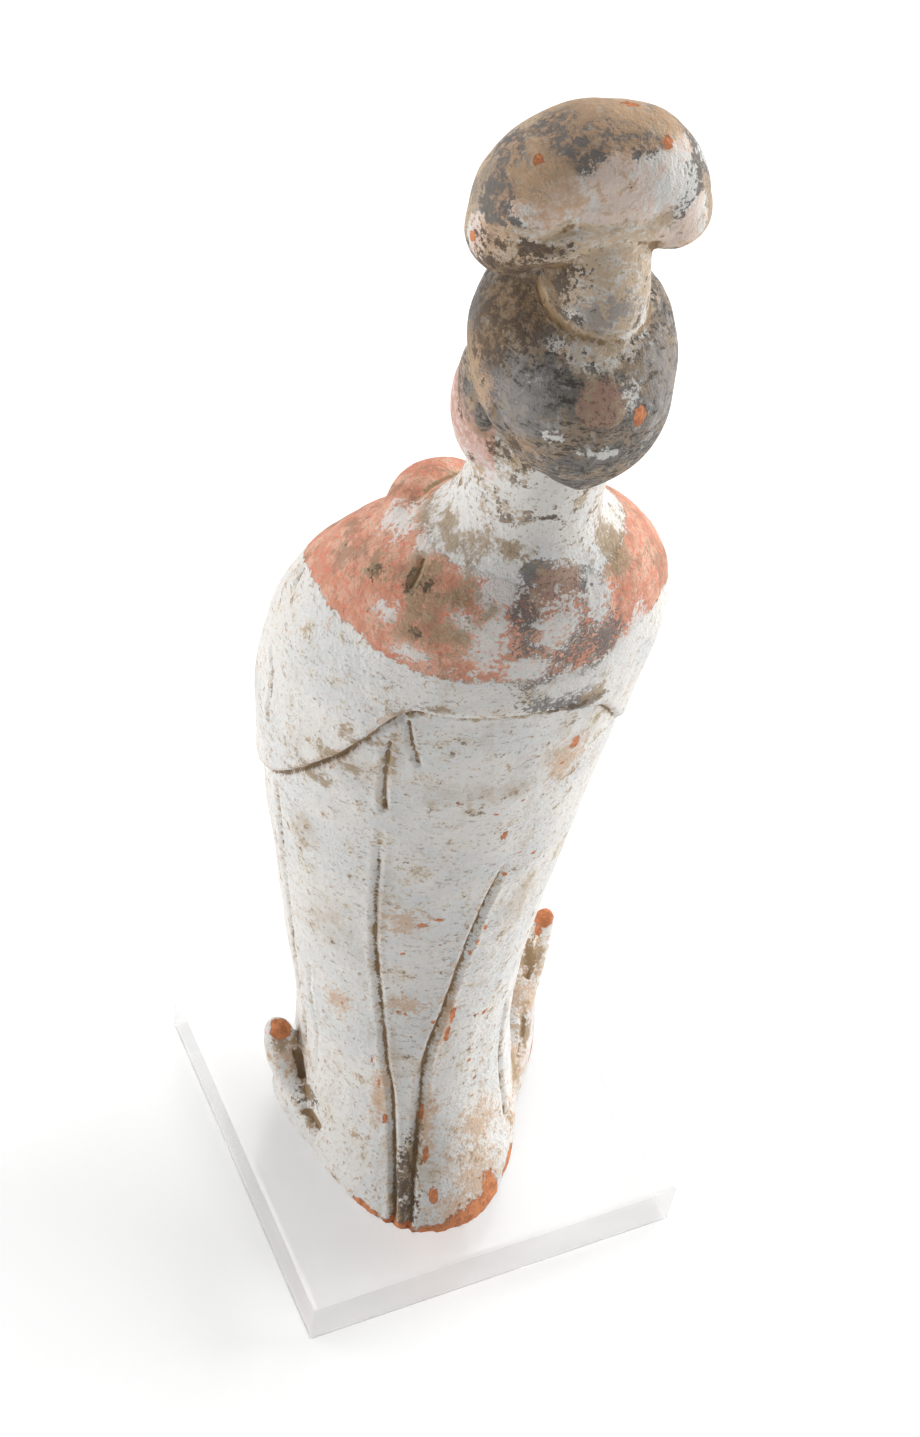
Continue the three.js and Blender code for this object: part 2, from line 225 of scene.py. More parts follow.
def rod(stops, side, around=48, rows=80, flat=1.0, cap_rows=12):
    """Rod through stops of x, y, z and radius: circles square to the smooth line through the
    stops, squeezed by `flat` across `side`, with a half ball at each end."""
    stops = np.asarray(stops, float)
    knots = np.linspace(0, 1, len(stops))
    line = [smooth_curve(knots, stops[:, column]) for column in range(4)]
    lean = np.linspace(1.5, 0, cap_rows, endpoint=False)
    ones = np.ones(cap_rows)
    t = np.concatenate([0 * ones, np.linspace(0, 1, rows), ones])
    slide = np.concatenate([-np.sin(lean), np.zeros(rows), np.sin(lean[::-1])])
    shrink = np.concatenate([np.cos(lean), np.ones(rows), np.cos(lean[::-1])])

    def place(at):
        return np.stack([axis(np.clip(at, 0, 1)) for axis in line[:3]], -1)

    ahead = unit(place(t + 0.01) - place(t - 0.01))
    out = unit(np.cross(ahead, side))
    over = np.cross(out, ahead)
    radius = line[3](t)
    centre = place(t) + (slide * radius)[:, None] * ahead
    turn = np.linspace(0, 2 * np.pi, around, endpoint=False)[None, :, None]
    spread = np.cos(turn) * out[:, None] + flat * np.sin(turn) * over[:, None]
    return skin(centre[:, None] + (shrink * radius)[:, None, None] * spread)


def oval_stack(table, rows=60, around=64, degrees=0.0):
    """Level ovals whose z, x, y, half width and half depth run smoothly through the table's
    rows, all turned by the same angle about their own centres."""
    table = np.asarray(table, float)
    z = np.linspace(table[0, 0], table[-1, 0], rows)
    curves = [smooth_curve(table[:, 0], table[:, column]) for column in (1, 2, 3, 4)]
    x, y, half, deep = (curve(z)[:, None] for curve in curves)
    turn = np.linspace(0, 2 * np.pi, around, endpoint=False)[None, :]
    across = half * np.cos(turn)
    along = deep * np.sin(turn)
    c, s = math.cos(math.radians(degrees)), math.sin(math.radians(degrees))
    x_at = x + across * c - along * s
    y_at = y + across * s + along * c
    return skin(np.stack([x_at, y_at, z[:, None] + 0 * across], -1))


def lump(centre, radii, rows=32, around=48):
    """Egg: circles of latitude of a ball, stretched by the three radii."""
    lean = np.linspace(-1.5, 1.5, rows)[:, None]
    turn = np.linspace(0, 2 * np.pi, around, endpoint=False)[None, :]
    level = np.cos(lean)
    ball = np.stack([level * np.cos(turn), level * np.sin(turn), np.sin(lean) + 0 * turn], -1)
    return skin(np.asarray(centre) + ball * np.asarray(radii))


def skirt():
    """Body from the foot to under the jacket, drawn in a little below the hem."""
    degrees = np.linspace(0, 360, 200, endpoint=False)[None, :]
    degrees = np.where(degrees > 180, degrees - 360, degrees)
    z = np.linspace(0, 185, 240)[:, None]
    return skin(body_point(degrees, z + 0 * degrees, skirt_tuck(z)))


def jacket():
    """Jacket and neck: rows run from the slanting hem, rounded under, to the shoulder and then
    level up the neck."""
    degrees = np.linspace(0, 360, 220, endpoint=False)
    low = hem_height(np.where(degrees > 180, degrees - 360, degrees))
    edge = [[5, 4.5], [SKIRT_TUCK, 0.2], [SKIRT_TUCK / 2, 0], [0.3, 0.5], [0, 1.5]]
    rings = [body_point(degrees, low + rise, inset) for inset, rise in edge]
    start = low + edge[-1][1]
    rings += [body_point(degrees, start + (SHOULDER - start) * rise) for rise in np.linspace(0, 1, 110)[1:]]
    rings += [body_point(degrees, z + 0 * degrees) for z in np.linspace(SHOULDER, NECK_TOP, 60)[1:]]
    return skin(np.stack(rings))


# Forearm from the elbow to the joined hands: distance from the middle, y, height and radius.
FOREARM = [[26, -28, 148, 13.5], [20, -43, 146, 13], [9, -50, 150, 11.5], [0, -52, 156, 9.6]]


def sleeves():
    """Two forearms brought together in front, and the cloth that hangs from them."""
    up = [0, 0, 1]
    fall = [
        [96, 5, -55, 4, 2], [100, 5, -55.5, 10, 3.4], [112, 5, -56, 14, 4.8],
        [128, 5, -56, 16, 5.6], [144, 5, -54.5, 17, 6.4], [156, 5, -51, 10, 6],
    ]
    forearms = [
        [[5 + side * across, y, z, radius] for across, y, z, radius in FOREARM] for side in (1, -1)
    ]
    return [rod(forearms[0], up), rod(forearms[1], up), oval_stack(fall)]


def collar():
    """Rolled front edge of the cape, crossing on the chest, left side over right."""
    left = [
        [24, -10, 202.5, 5.2], [18, -22, 204.5, 6], [9, -30, 200, 6], [0, -35, 188, 5.2], [-6, -42, 174, 4],
    ]
    right = [[-20, -10, 202, 5], [-13, -22, 203, 5.6], [-4, -29, 199, 5.6], [4, -34, 188, 4.8]]
    return [rod(stops, [0, 0, 1]) for stops in (left, right)]


def hem_corners():
    """At each side of the foot the hem runs out in a fin and curls up to a blunt horn."""
    left = [
        [-1, 23, -4, 6.5, 24], [5, 25.5, -9, 6, 18], [9, 29.5, -16, 5.2, 10], [13, 32.5, -20.5, 4.6, 6],
        [19, 34, -23, 4.2, 4.4], [23, 34.5, -23.5, 3.4, 3.6], [25.3, 34.5, -23.5, 1.6, 1.8],
    ]
    right = [
        [-1, -27, -22, 7.5, 26], [5, -28, -24, 6.5, 24], [10, -31, -29.5, 5, 18], [15, -35.5, -37, 4, 11],
        [20, -39.5, -43, 3.2, 6], [24, -41.5, -46, 2.8, 3.4], [26.5, -42, -46.5, 1.4, 1.6],
    ]
    return [oval_stack(left, degrees=26), oval_stack(right, degrees=-24)]


def shoes():
    """Two shoe tips under the front of the skirt."""
    return [rod([[x, -30, 4, 7], [x, -42, 5, 6.5], [x, -48, 8.5, 4.2]], [1, 0, 0]) for x in (11, -9)]


# Eggs that the head is made from: centre and radii.
FACE = ([0.5, -9, 240.5], [17.6, 15.5, 19.5])
CHIN = ([0.6, -15.5, 228.5], [8.5, 7, 6.5])
LOCKS = [([x, -4, 250], [3.6, 8, 10]) for x in (15.3, -15.8)]


def head():
    """Face, chin and the hair swept up over the crown, with a lock before each ear."""
    z, x, half, back, front = HAIR.T
    hair = oval_stack(np.stack([z, x, (back + front) / 2, half, (back - front) / 2], -1))
    return [lump(*FACE), lump(*CHIN), hair, *(lump(*lock) for lock in LOCKS)]


# The bun's roll runs along an arc: its middle, radius, first and last angle, and stops.
BUN_MIDDLE = np.array([0.8, -1, 287.8])
BUN_BEND = 13.6
BUN_ENDS = (-77, 92)
BUN_STOPS = 7


def topknot():
    """Stalk at the back of the crown under a half-moon bun: a thick roll carried along an arc,
    slimmer to its ends, with its middle filled and a second roll along its lower edge."""
    back = [0, 1, 0]
    turn = np.linspace(*BUN_ENDS, BUN_STOPS)
    x, y, z = BUN_MIDDLE
    stops = np.stack([
        x + (BUN_BEND + np.maximum(turn, 0) / 90) * np.sin(np.radians(turn)),
        y + 0 * turn,
        z + BUN_BEND * np.cos(np.radians(turn)),
        9.4 - 1.6 * np.abs(np.linspace(-1, 1, BUN_STOPS)) ** 3,
    ], -1)
    lower_edge = [[-12, 0, 291, 4.6], [0, 0, 293, 6], [9, -0.2, 290, 6], [16, -0.6, 286.5, 5]]
    stem = [[-0.5, 5, 266, 9.3], [-0.3, 4.8, 275, 9.4], [0.3, 2.6, 283, 9.6], [0.8, -1, 291, 8.6]]
    return [
        rod(stops, back, flat=1.08, rows=110),
        lump([x, y + 0.6, 297], [16, 10.2, 12]),
        rod(lower_edge, back, flat=1.65),
        rod(stem, back),
    ]


def lattice_noise(points, size, seed):
    """Smooth noise from -1 to 1: random values on a cubic lattice of this size, blended by an
    eased weight along each axis."""
    cells = 64
    table = np.random.default_rng(seed).uniform(-1, 1, (cells, cells, cells))
    where = points / size + 1000
    base = np.floor(where).astype(int)
    t = where - base
    t = t * t * (3 - 2 * t)
    total = np.zeros(len(points))
    for corner in np.ndindex(2, 2, 2):
        at = (base + corner) % cells
        weight = np.prod(np.where(np.array(corner) == 1, t, 1 - t), axis=1)
        total += weight * table[at[:, 0], at[:, 1], at[:, 2]]
    return total


def smooth_line(stops, count=160):
    """Smooth line through stops, each column of them a smooth curve of the share of the way."""
    stops = np.asarray(stops, float)
    knots = np.linspace(0, 1, len(stops))
    t = np.linspace(0, 1, count)
    return np.stack([smooth_curve(knots, stops[:, column])(t) for column in range(stops.shape[1])], -1)


def line_on_body(stops):
    """Smooth line on the robe through stops of angle and height, as points."""
    degrees, z = smooth_line(stops).T
    inset = np.where(z < hem_height(degrees), skirt_tuck(z), 0)
    return body_point(degrees, np.maximum(z, 0), inset)


def line_distance(points, line, reach):
    """Distance in millimetres from each point to the nearest point of a line, up to the reach,
    and how far along the line that is from 0 to 1."""
    distance = np.full(len(points), float(reach))
    along = np.zeros(len(points))
    near = np.all((points > line.min(0) - reach) & (points < line.max(0) + reach), axis=1)
    index = np.flatnonzero(near)
    for part in np.array_split(index, max(1, len(index) // 20000)):
        square = ((points[part, None] - line[None]) ** 2).sum(-1)
        best = square.argmin(1)
        distance[part] = np.minimum(np.sqrt(square[np.arange(len(part)), best]), reach)
        along[part] = best / (len(line) - 1)
    return distance, along


# Grooves and creases cut in the robe: half width, depth, and stops of angle and height.
ROBE_CUTS = [
    (0.7, 1.2, [[57, 166], [58.5, 152], [60.5, 140]]),
    (0.7, 1.5, [[60, 133], [60, 92], [63, 55], [62, 30], [61, 8], [61, -3]]),
    (0.75, 1.7, [[105, 119], [99, 94], [94, 68], [84, 46], [77, 25], [72, 8], [70, -3]]),
    (0.6, 1.2, [[60, 173], [63, 167], [68, 158]]),
    (0.8, 0.8, [[13, 128], [12, 100], [8, 75], [3, 56], [-2, 38], [-4, 20]]),
    (0.7, 0.5, [[21, 66], [14, 42], [8, 22]]),
    (1.0, 1.0, [[142, 52], [146, 34], [149, 22], [154, 10]]),
    (0.9, 0.9, [[172, 118], [178, 80], [180, 50]]),
    (1.3, 1.4, [[-112, 104], [-112, 55], [-113, 12]]),
    (1.3, 1.4, [[-98, 98], [-98, 55], [-98, 12]]),
    (1.3, 1.4, [[-84, 98], [-84, 55], [-84, 12]]),
    (1.3, 1.4, [[-70, 104], [-70, 55], [-69, 12]]),
    (1.0, 1.0, [[-40, 112], [-40, 70], [-40, 30]]),
    (1.0, 1.0, [[-142, 112], [-142, 70], [-142, 30]]),
    (0.5, 0.8, [[-3, 184], [-6, 186.5], [-10, 189]]),
    (0.5, 0.7, [[3, 167], [9, 160], [13, 145]]),
    (0.7, 1.0, [[20, 209.5], [26, 207.5], [31, 204.5]]),
]

# The dirt-filled line under the jacket's hem: half width, depth, and its first and last angle.
HEM_CUTS = [(0.8, 1.3, 8, 64), (0.45, 0.5, 64, 140), (0.6, 0.8, 140, 368)]

# Creases elsewhere: half width, depth, and stops of x, y and z.
OTHER_CUTS = [
    (0.9, 1.5, [[31.5, -19.5, 21], [30, -18, 16], [29.5, -14.5, 12.5]]),
    (1.3, 1.4, [[30.5, -9.5, 5.5], [28.9, -6.2, 8.2], [27.3, -1.7, 7.8]]),
    (2.2, 1.8, [[-38, -43.2, 22.8], [-36.5, -42.2, 20.9], [-35.8, -36, 18.8], [-34, -32, 17.3]]),
    (1.2, 1.2, [[-32, -27, 14], [-28.6, -14, 9], [-24, -3, 8], [-20.3, 4.4, 9.4]]),
    (0.9, 0.7, [[14, -41, 166], [9, -56, 162], [5, -60, 156]]),
    (0.9, 0.7, [[-4, -41, 166], [1, -56, 162], [5, -60, 156]]),
    (0.8, 0.7, [[5, -61.5, 148], [5, -61.8, 125], [5, -60.5, 104]]),
]

# Face, as soft mounds on its front: distance from the middle, height, two spreads, and how
# far out, with a pair where the distance isn't nothing.
FACE_MOUNDS = [
    [0, 247.5, 1.9, 4, 0.7], [6.6, 248.6, 4, 1.5, 0.6], [6.8, 244.6, 3.6, 2.1, -1.2],
    [6.8, 244.2, 2.6, 1.1, 0.9], [8.6, 238, 4.5, 4, 0.8], [1.9, 237.7, 1, 0.9, 0.5],
    [0, 233.7, 2.8, 0.8, 0.8], [0, 231.8, 2.2, 0.8, 0.9], [0, 232.8, 2.9, 0.4, -0.6],
    [0, 229.7, 2.6, 0.8, -0.5], [0, 226.4, 3, 2.2, 0.5],
]
FACE_MIDDLE = FACE[0][0]


def face_relief(points):
    """How far the face's front stands out: the sum of each mound's height times a bell curve
    across and a bell curve up."""
    x, y, z = points.T
    out = np.zeros(len(points))
    for away, height, across, up, rise in FACE_MOUNDS:
        for side in (-1, 1) if away else (1,):
            square = ((x - FACE_MIDDLE - side * away) / across) ** 2 + ((z - height) / up) ** 2
            out += rise * np.exp(-square)
    return out * np.clip((-14 - y) / 5, 0, 1) * (z > 218) * (z < 258)


def all_cuts():
    """Every cut as half width, depth and a line of points."""
    cuts = [(wide, deep, line_on_body(stops)) for wide, deep, stops in ROBE_CUTS]
    cuts += [(wide, deep, smooth_line(stops)) for wide, deep, stops in OTHER_CUTS]
    for wide, deep, first, last in HEM_CUTS:
        degrees = np.linspace(first, last, 250)
        degrees = np.where(degrees > 180, degrees - 360, degrees)
        low = hem_height(degrees) - wide
        cuts.append((wide, deep, body_point(degrees, low, skirt_tuck(low))))
    return cuts


def carve(points, normals, share):
    """Points moved along their normals: in by a bell curve of the distance to each cut, out a
    little beside it, and by smooth noise for the hand-pressed clay. The face moves forwards."""
    move = 0.3 * lattice_noise(points, 15, 1) + 0.16 * lattice_noise(points, 5, 2)
    move += 0.06 * lattice_noise(points, 1.7, 3)
    worn = 1 + 0.35 * lattice_noise(points, 4, 4)
    for wide, deep, line in all_cuts():
        distance, along = line_distance(points, line, 6 * wide)
        taper = np.clip(np.minimum(along, 1 - along) * 14, 0.2, 1) * worn
        move -= share * deep * taper * np.exp(-(distance / wide) ** 2)
        move += share * 0.16 * deep * taper * np.exp(-((distance - 2.3 * wide) / wide) ** 2)
    forward = face_relief(points)
    return points + move[:, None] * normals - forward[:, None] * np.array([0, 1, 0])


# Lower edge of the coral cape, by angle.
CAPE_EDGE = np.array([
    [-180, 193], [-150, 187], [-125, 180], [-108, 171], [-95, 164], [-84, 165], [-66, 176],
    [-40, 185], [-18, 188], [6, 191.5], [26, 191.5], [43, 190], [60, 188.5], [81, 188.5],
    [94, 188], [107, 188.5], [120, 191], [136, 195], [160, 195], [180, 193],
])
# How far from the neck's middle the cape starts, by angle, and the highest that it reaches.
CAPE_TOP = np.array([
    [-180, 21], [-90, 17], [-30, 20], [0, 21], [35, 19], [60, 17], [110, 16.5], [150, 18], [180, 21],
])
CAPE_HIGH = 220

# Patches of wear on the robe and cape: angle, height, half width and half height.
ROBE_PATCHES = {
    "chip": [
        [101, 131, 0.9, 1.8], [117, 119, 1.3, 0.7], [110, 122, 1.2, 0.4], [106, 115, 0.9, 0.9],
        [107, 104, 0.8, 0.8], [104, 96, 0.6, 1.2], [102, 91, 0.6, 1.2], [100, 87, 0.5, 1.1],
        [78, 100, 1.4, 1.1], [84, 102, 1.2, 0.6], [83, 108, 0.6, 0.6], [71, 98, 0.8, 0.6],
        [72, 88, 1, 0.7], [76, 90, 0.8, 0.3], [86, 92, 0.6, 0.5], [84, 74, 0.6, 0.7],
        [88, 62, 0.8, 0.7], [69, 65, 0.8, 0.6], [74, 65, 0.8, 0.5], [76, 56, 0.5, 0.5],
        [98, 63, 0.8, 3.4], [96, 56, 0.7, 2.8], [119, 58, 1.2, 0.6], [113, 59, 0.9, 0.4],
        [116, 69, 0.8, 0.5], [41, 60, 0.7, 0.6], [42, 86, 0.5, 0.4], [55, 45, 0.4, 1.8],
        [55, 36, 0.5, 2.4], [57, 26, 0.6, 1.6], [80, 30, 0.6, 3], [82, 19, 0.7, 2.4],
        [86, 10, 1.2, 1.8], [82, 147, 0.8, 0.8], [89, 148, 0.6, 0.6], [76, 142, 0.8, 1],
        [103, 144, 1.2, 0.5], [96, 141, 1, 0.5], [118, 159, 1.3, 2.2], [115, 153, 0.8, 0.8],
        [66, 0.5, 5, 2.2], [90, 0.4, 9, 2.6], [112, 1.5, 8, 4.6], [128, 4, 3, 6], [44, 1, 4, 1.6],
        [118, 36, 0.8, 0.5], [124, 48, 0.7, 0.5], [112, 44, 0.7, 0.4], [104, 76, 0.6, 0.5],
        [150, 2, 5, 2], [-160, 1, 8, 1.6], [-90, 0.5, 9, 1.2], [-150, 150, 0.9, 0.7],
        [-30, 66, 0.8, 1], [-60, 40, 0.9, 0.6], [160, 96, 1, 0.8],
    ],
    "tan": [
        [121, 22, 6, 4.6], [117, 154, 4, 6], [120, 8, 7, 8], [100, 5, 7, 5], [84, 26, 2, 9],
        [95, 62, 2, 9], [40, 60, 3, 4], [55, 34, 2, 9], [75, 68, 4, 3], [72, 100, 4, 4],
    ],
    "grime_and_shade": [
        [70, 15, 2.2, 10], [67, 5, 2.6, 5], [28, 206.6, 1.4, 2.4], [37, 206, 0.9, 2.4],
        [106, 177, 7, 1], [47, 198, 1.2, 1.2], [3, 12, 3, 2], [13, 203, 1.6, 1.2],
    ],
    "soil": [
        [53, 43, 1.8, 1.2], [-11, 213, 4, 3], [6, 214.5, 5, 3], [20, 214, 5, 3], [34, 215, 4, 3],
        [43, 217, 5, 3], [60, 217, 5, 2.4], [142, 219, 3, 5], [146, 213, 5, 5], [28, 207, 4, 5],
        [38, 204, 4, 6], [13, 203, 4, 3], [56, 200, 5, 5], [44, 198, 5, 4], [56, 207, 5, 4],
        [24, 140, 5, 1.6], [33, 146.5, 5, 2], [42, 155, 5, 2], [50, 163, 5, 2.2], [60, 176, 5, 2.4],
        [66, 179, 4, 1.6], [36, 142, 6, 2], [48, 151, 4, 3], [117, 178, 4, 4], [59, 160, 1.6, 6],
        [66, 163, 1.6, 5], [80, 176, 8, 0.9], [96, 176.5, 9, 1.2],
    ],
    "smudge": [
        [40, 90, 9, 13], [62, 100, 3, 34], [63, 40, 4, 34], [95, 70, 3, 26], [80, 30, 4, 22],
        [110, 158, 9, 9], [90, 150, 20, 6], [52, 200, 16, 10], [25, 205, 12, 8], [100, 186, 18, 8],
        [50, 152, 9, 9], [75, 16, 14, 12], [30, 120, 8, 9], [120, 100, 10, 16],
    ],
    "flake": [
        [33, 199, 2.4, 2], [59, 203, 2.6, 2.4], [15, 211, 3, 2], [-15, 209, 4, 3], [21, 215, 3, 2],
        [64, 209, 4, 5], [48, 213, 4, 3], [117, 181, 3, 2.4], [123, 188, 3, 5], [131, 195, 2.4, 4],
        [72, 200, 3.4, 8], [96, 203, 4, 5], [88, 192, 5, 3], [116, 207, 3, 5], [106, 185, 7, 4],
        [50, 193, 3, 2],
    ],
    "soot": [
        [79, 207, 3, 5], [84, 204, 3, 3.4], [113, 209, 3.4, 4], [114, 205, 3.2, 4],
        [88, 198, 4, 3], [95, 190, 6, 4], [109, 187, 5, 4], [104, 181, 8, 4],
        [100, 194, 5, 4], [117, 196, 4, 5], [105, 200, 4, 6], [114, 177, 6, 2.4], [85, 213, 4, 3],
    ],
    "disc": [[96, 210.5, 5.4, 4]],
}

# Patches of every kind on the head, bun and hem corners: x, y, z, half width and half height.
HEAD_PATCHES = {
    "chip": [
        [14.2, 4.1, 304.8, 1, 1], [-7.6, 4.4, 307.3, 1.4, 0.8], [5.7, 8.9, 298.6, 0.5, 0.5],
        [23, 1.5, 288, 1, 1], [-3, -3.2, 309.6, 1.4, 0.7], [-11.6, 8.3, 295.6, 0.5, 0.8],
        [-5.7, 21.4, 262.5, 1.6, 1.9], [34.2, -22, 25.3, 3.4, 3], [-41, -45.8, 26, 3.2, 3],
        [-39, -43, 23.5, 1.2, 1.6], [35.5, -24, 20, 1.6, 4], [-33, -36, 12, 1, 3],
    ],
    "tan": [
        [14.7, 5.6, 303, 6, 5], [12, 8, 299.6, 5, 4], [-1.9, 0.3, 310.4, 10, 3.4],
        [6, -2, 311, 8, 3.4], [-8, 0, 309, 5, 4], [19.1, 3.8, 264, 3, 6], [18.8, 8, 259.5, 3, 4],
        [13.8, 16.6, 253.4, 3, 2], [20, 6, 290, 3, 4], [-36, -38, 19.6, 5, 5], [-33, -28, 16, 5, 5],
        [-26, -12, 9, 6, 5], [-20, 2, 9, 4, 4], [33, -18, 20, 4, 5], [14, 4, 284, 6, 6],
    ],
    "pink": [
        [13.4, 8.7, 297.2, 5, 3], [7.8, 8.9, 300.3, 6, 4], [2, 8.9, 301.4, 6, 5],
        [-4, 8.2, 302.4, 5, 5], [-8, 7.5, 302, 3, 5], [-3, 8.8, 298, 7, 3.4], [3.9, 8.7, 297.4, 8, 3],
        [-13, 7.6, 290.4, 5, 4], [-15.3, 6.9, 294, 3, 4], [22.6, 2, 288, 3, 5], [-11, 5, 306, 4, 2],
    ],
    "cream": [
        [18.3, 7.6, 290, 4, 3], [12.7, 8.7, 292.6, 7, 3], [6, 8.5, 293, 7, 3], [-0.7, 8.3, 293, 8, 3],
        [-6.7, 7.4, 291.5, 6, 2.6], [16.3, 8.3, 287.6, 6, 3], [1, 8, 284, 14, 11], [1, 14, 278, 10, 8],
        [2, 15, 272.4, 9, 1.6], [8.6, 10.6, 278, 2, 4],
    ],
    # The patches on her left of the stalk, under the end of the bun, are dirt and partly painted shade from
    # the bun's overhang.
    "grime_and_shade": [
        [16.4, 6.6, 280, 6, 6], [11.4, 4.6, 275, 8, 6], [9.4, 8, 277, 3, 5], [15.7, 1, 273, 7, 6],
        [10.7, 6.3, 281.6, 5, 5], [18.9, 4.4, 279.3, 5, 5], [13, 7, 285, 8, 3], [17, 5, 268, 5, 5],
        [17.4, -6, 246, 1.6, 4], [13.3, 2, 240, 1.4, 1.6], [12.6, 5.5, 235, 1, 2],
        [14.6, 15, 252.6, 1.6, 2],
        [17.6, 11.4, 256, 1.2, 2.4], [14.9, -3.1, 232.8, 1.2, 1.2], [9.3, 4.9, 238, 1.4, 1.2],
        [2, 8.6, 226, 1.6, 0.8], [-36.5, -40, 20.4, 1.2, 2], [14, 6, 290, 8, 1.4],
    ],
    "soil": [
        [29.8, -15, 13.4, 2, 4.4], [29, -5.6, 8, 2.4, 2.2], [31, -13, 4, 2.4, 2.4],
        [-36, -38, 19.6, 4, 5], [-31, -20, 11, 4, 4], [-26, -12, 8.6, 3, 3], [-20, 2, 9, 3, 3],
        [16, 0, 248, 3, 8], [20, 0, 262, 5, 10], [34, -21, 21, 3, 3],
    ],
    "smudge": [
        [12, 4, 242, 8, 12], [4, 8, 282, 12, 8], [-6, 14, 270, 14, 6], [0, 4, 306, 16, 6],
        [14, 16, 256, 10, 12],
    ],
    "flake": [
        [-0.4, 16.4, 271.4, 1.4, 1], [3.5, 17, 270.6, 1.2, 0.8], [-4, 20.4, 266.4, 1.6, 2],
        [1, 22.2, 255.4, 3, 1], [9, 21, 258, 2, 1], [-17.4, 1, 304.6, 2.4, 4], [-13, 6, 306, 3, 2],
        [9.7, 9.6, 281, 1.6, 3], [7, 12, 277.4, 2.4, 1.6], [-7.8, 11.2, 274.4, 2, 2],
        [-4, 14.8, 274, 2.4, 0.9], [3, 15.6, 273.6, 2.4, 0.9], [14, 8, 279, 2, 2], [12, 13, 267, 2, 1.4],
        [-11, 8, 301, 3, 5], [8, 11.6, 272.4, 3, 1.4],
    ],
    "soot": [
        [8.9, 2.5, 308.2, 7, 3], [3.5, 5, 308, 8, 3.4], [-2.4, 6.2, 307.2, 6, 3], [20.8, 4.9, 296, 4, 7],
        [17.7, 7.8, 293.6, 3, 4], [20, 3.7, 299.4, 4, 5], [17.7, -0.8, 303.6, 4, 3],
        [-12.4, 6.3, 302.8, 3.4, 7], [-12.2, 8, 298, 3, 5], [-15.5, 0.8, 302.8, 4, 7],
        [19, -3, 270, 5, 8], [17, 8, 262, 4, 5], [3, 8, 305.4, 7, 1.6],
    ],
    "grey": [
        [3.4, 13.8, 278.2, 5, 3], [-1.3, 14.2, 279.6, 4, 2.6], [13, 14, 262, 6, 8], [-10, 14, 264, 6, 8],
    ],
    "disc": [[2.1, 21.5, 265.6, 4.2, 4.8]],
}


def patches(points, kind):
    """How far inside a kind's patches each point is: 1 at a middle, 0 at an oval's edge and -1
    from twice as far, with distance measured level over the half width and upright over the
    half height. On the robe, distance in or out from it counts little."""
    x, y, z = points.T
    value = np.full(len(points), -1.0)
    for turn, high_at, wide, high in ROBE_PATCHES.get(kind, []):
        before, middle, after = body_point(np.array([turn - 1, turn, turn + 1]), float(high_at))
        along = unit(after - before)
        from_middle = np.stack([x - middle[0], y - middle[1]], -1)
        level = from_middle @ along[:2]
        inward = from_middle @ np.array([along[1], -along[0]])
        square = (level ** 2 + 0.1 * inward ** 2) / wide ** 2 + ((z - high_at) / high) ** 2
        value = np.maximum(value, 1 - np.sqrt(square))
    for at_x, at_y, at_z, wide, high in HEAD_PATCHES.get(kind, []):
        level = (x - at_x) ** 2 + (y - at_y) ** 2
        value = np.maximum(value, 1 - np.sqrt(level / wide ** 2 + ((z - at_z) / high) ** 2))
    return value


# Drawn face: half width of the brush, and stops of distance from the middle and height.
BRUSHED = [
    (0.45, [[3.2, 249], [6.8, 250.6], [10.8, 249]]),
    (0.35, [[3.8, 244.1], [6.8, 244.9], [10.2, 243.9]]),
]


def face_paint(points):
    """Millimetres inside the brushed brows and lids, and shares inside the lips and the blush."""
    x, y, z = points.T
    flat = np.stack([np.abs(x - FACE_MIDDLE), z], -1)
    ink = np.full(len(points), -1.0)
    for brush, stops in BRUSHED:
        line = smooth_line(stops, 40)
        distance, _ = line_distance(flat, line, 3)
        ink = np.maximum(ink, np.where(y < -15, brush - distance, -1))
    lips = 1 - np.hypot((x - FACE_MIDDLE) / 3.1, (z - 232.8) / 1.5)
    blush = 1 - np.hypot((np.abs(x - FACE_MIDDLE) - 12.5) / 8, (z - 240.5) / 8.5)
    return {
        "ink": ink,
        "lips": np.where(y < -18, lips, -1),
        "blush": np.where((y < 2) & (z > 228) & (z < 252), blush, -1),
    }


def paint_fields(points, hollow):
    """Named fields that the pottery's finish reads: cape and hair in millimetres from their
    edges, patches and paint as they come, and from 0 to 1 how much dirt a hollow holds."""
    x, y, z = points.T
    degrees = body_degrees(points)
    crevice = np.clip(hollow * 1.6, 0, 0.8)
    for wide, deep, line in all_cuts():
        distance, along = line_distance(points, line, 6 * wide)
        taper = np.clip(np.minimum(along, 1 - along) * 10, 0.3, 1)
        filled = min(1, 0.45 + deep / 2.4)
        crevice = np.maximum(crevice, taper * filled * np.exp(-(distance / wide) ** 2))
    edge = smooth_curve(CAPE_EDGE[:, 0], CAPE_EDGE[:, 1])(degrees)
    top = smooth_curve(CAPE_TOP[:, 0], CAPE_TOP[:, 1])(degrees)
    from_neck = np.hypot(x, y - section["y"](NECK_TOP))
    near_head = np.clip((z - 232) / 5, 0, 1) * np.clip((258 - z) / 4, 0, 1)
    fields = {
        "cape": np.clip(np.minimum(np.minimum(z - edge, from_neck - top), CAPE_HIGH - z), -8, 8),
        "hair": hair_field(points),
        "bun": np.clip(z - 286, -8, 8),
        "crevice": crevice,
        "edge": np.clip(-hollow, 0, 1),
        "flecks": np.clip((z - 208) / 8, 0, 1) * (0.5 + 0.5 * near_head),
        "low": np.clip((150 - z) / 110, 0, 1),
        "mottle": np.clip(1.4 - np.hypot((degrees - 96) / 32, (z - 196) / 18), 0, 1),
        **face_paint(points),
    }
    for kind in HEAD_PATCHES:
        fields[kind] = patches(points, kind)
    return fields


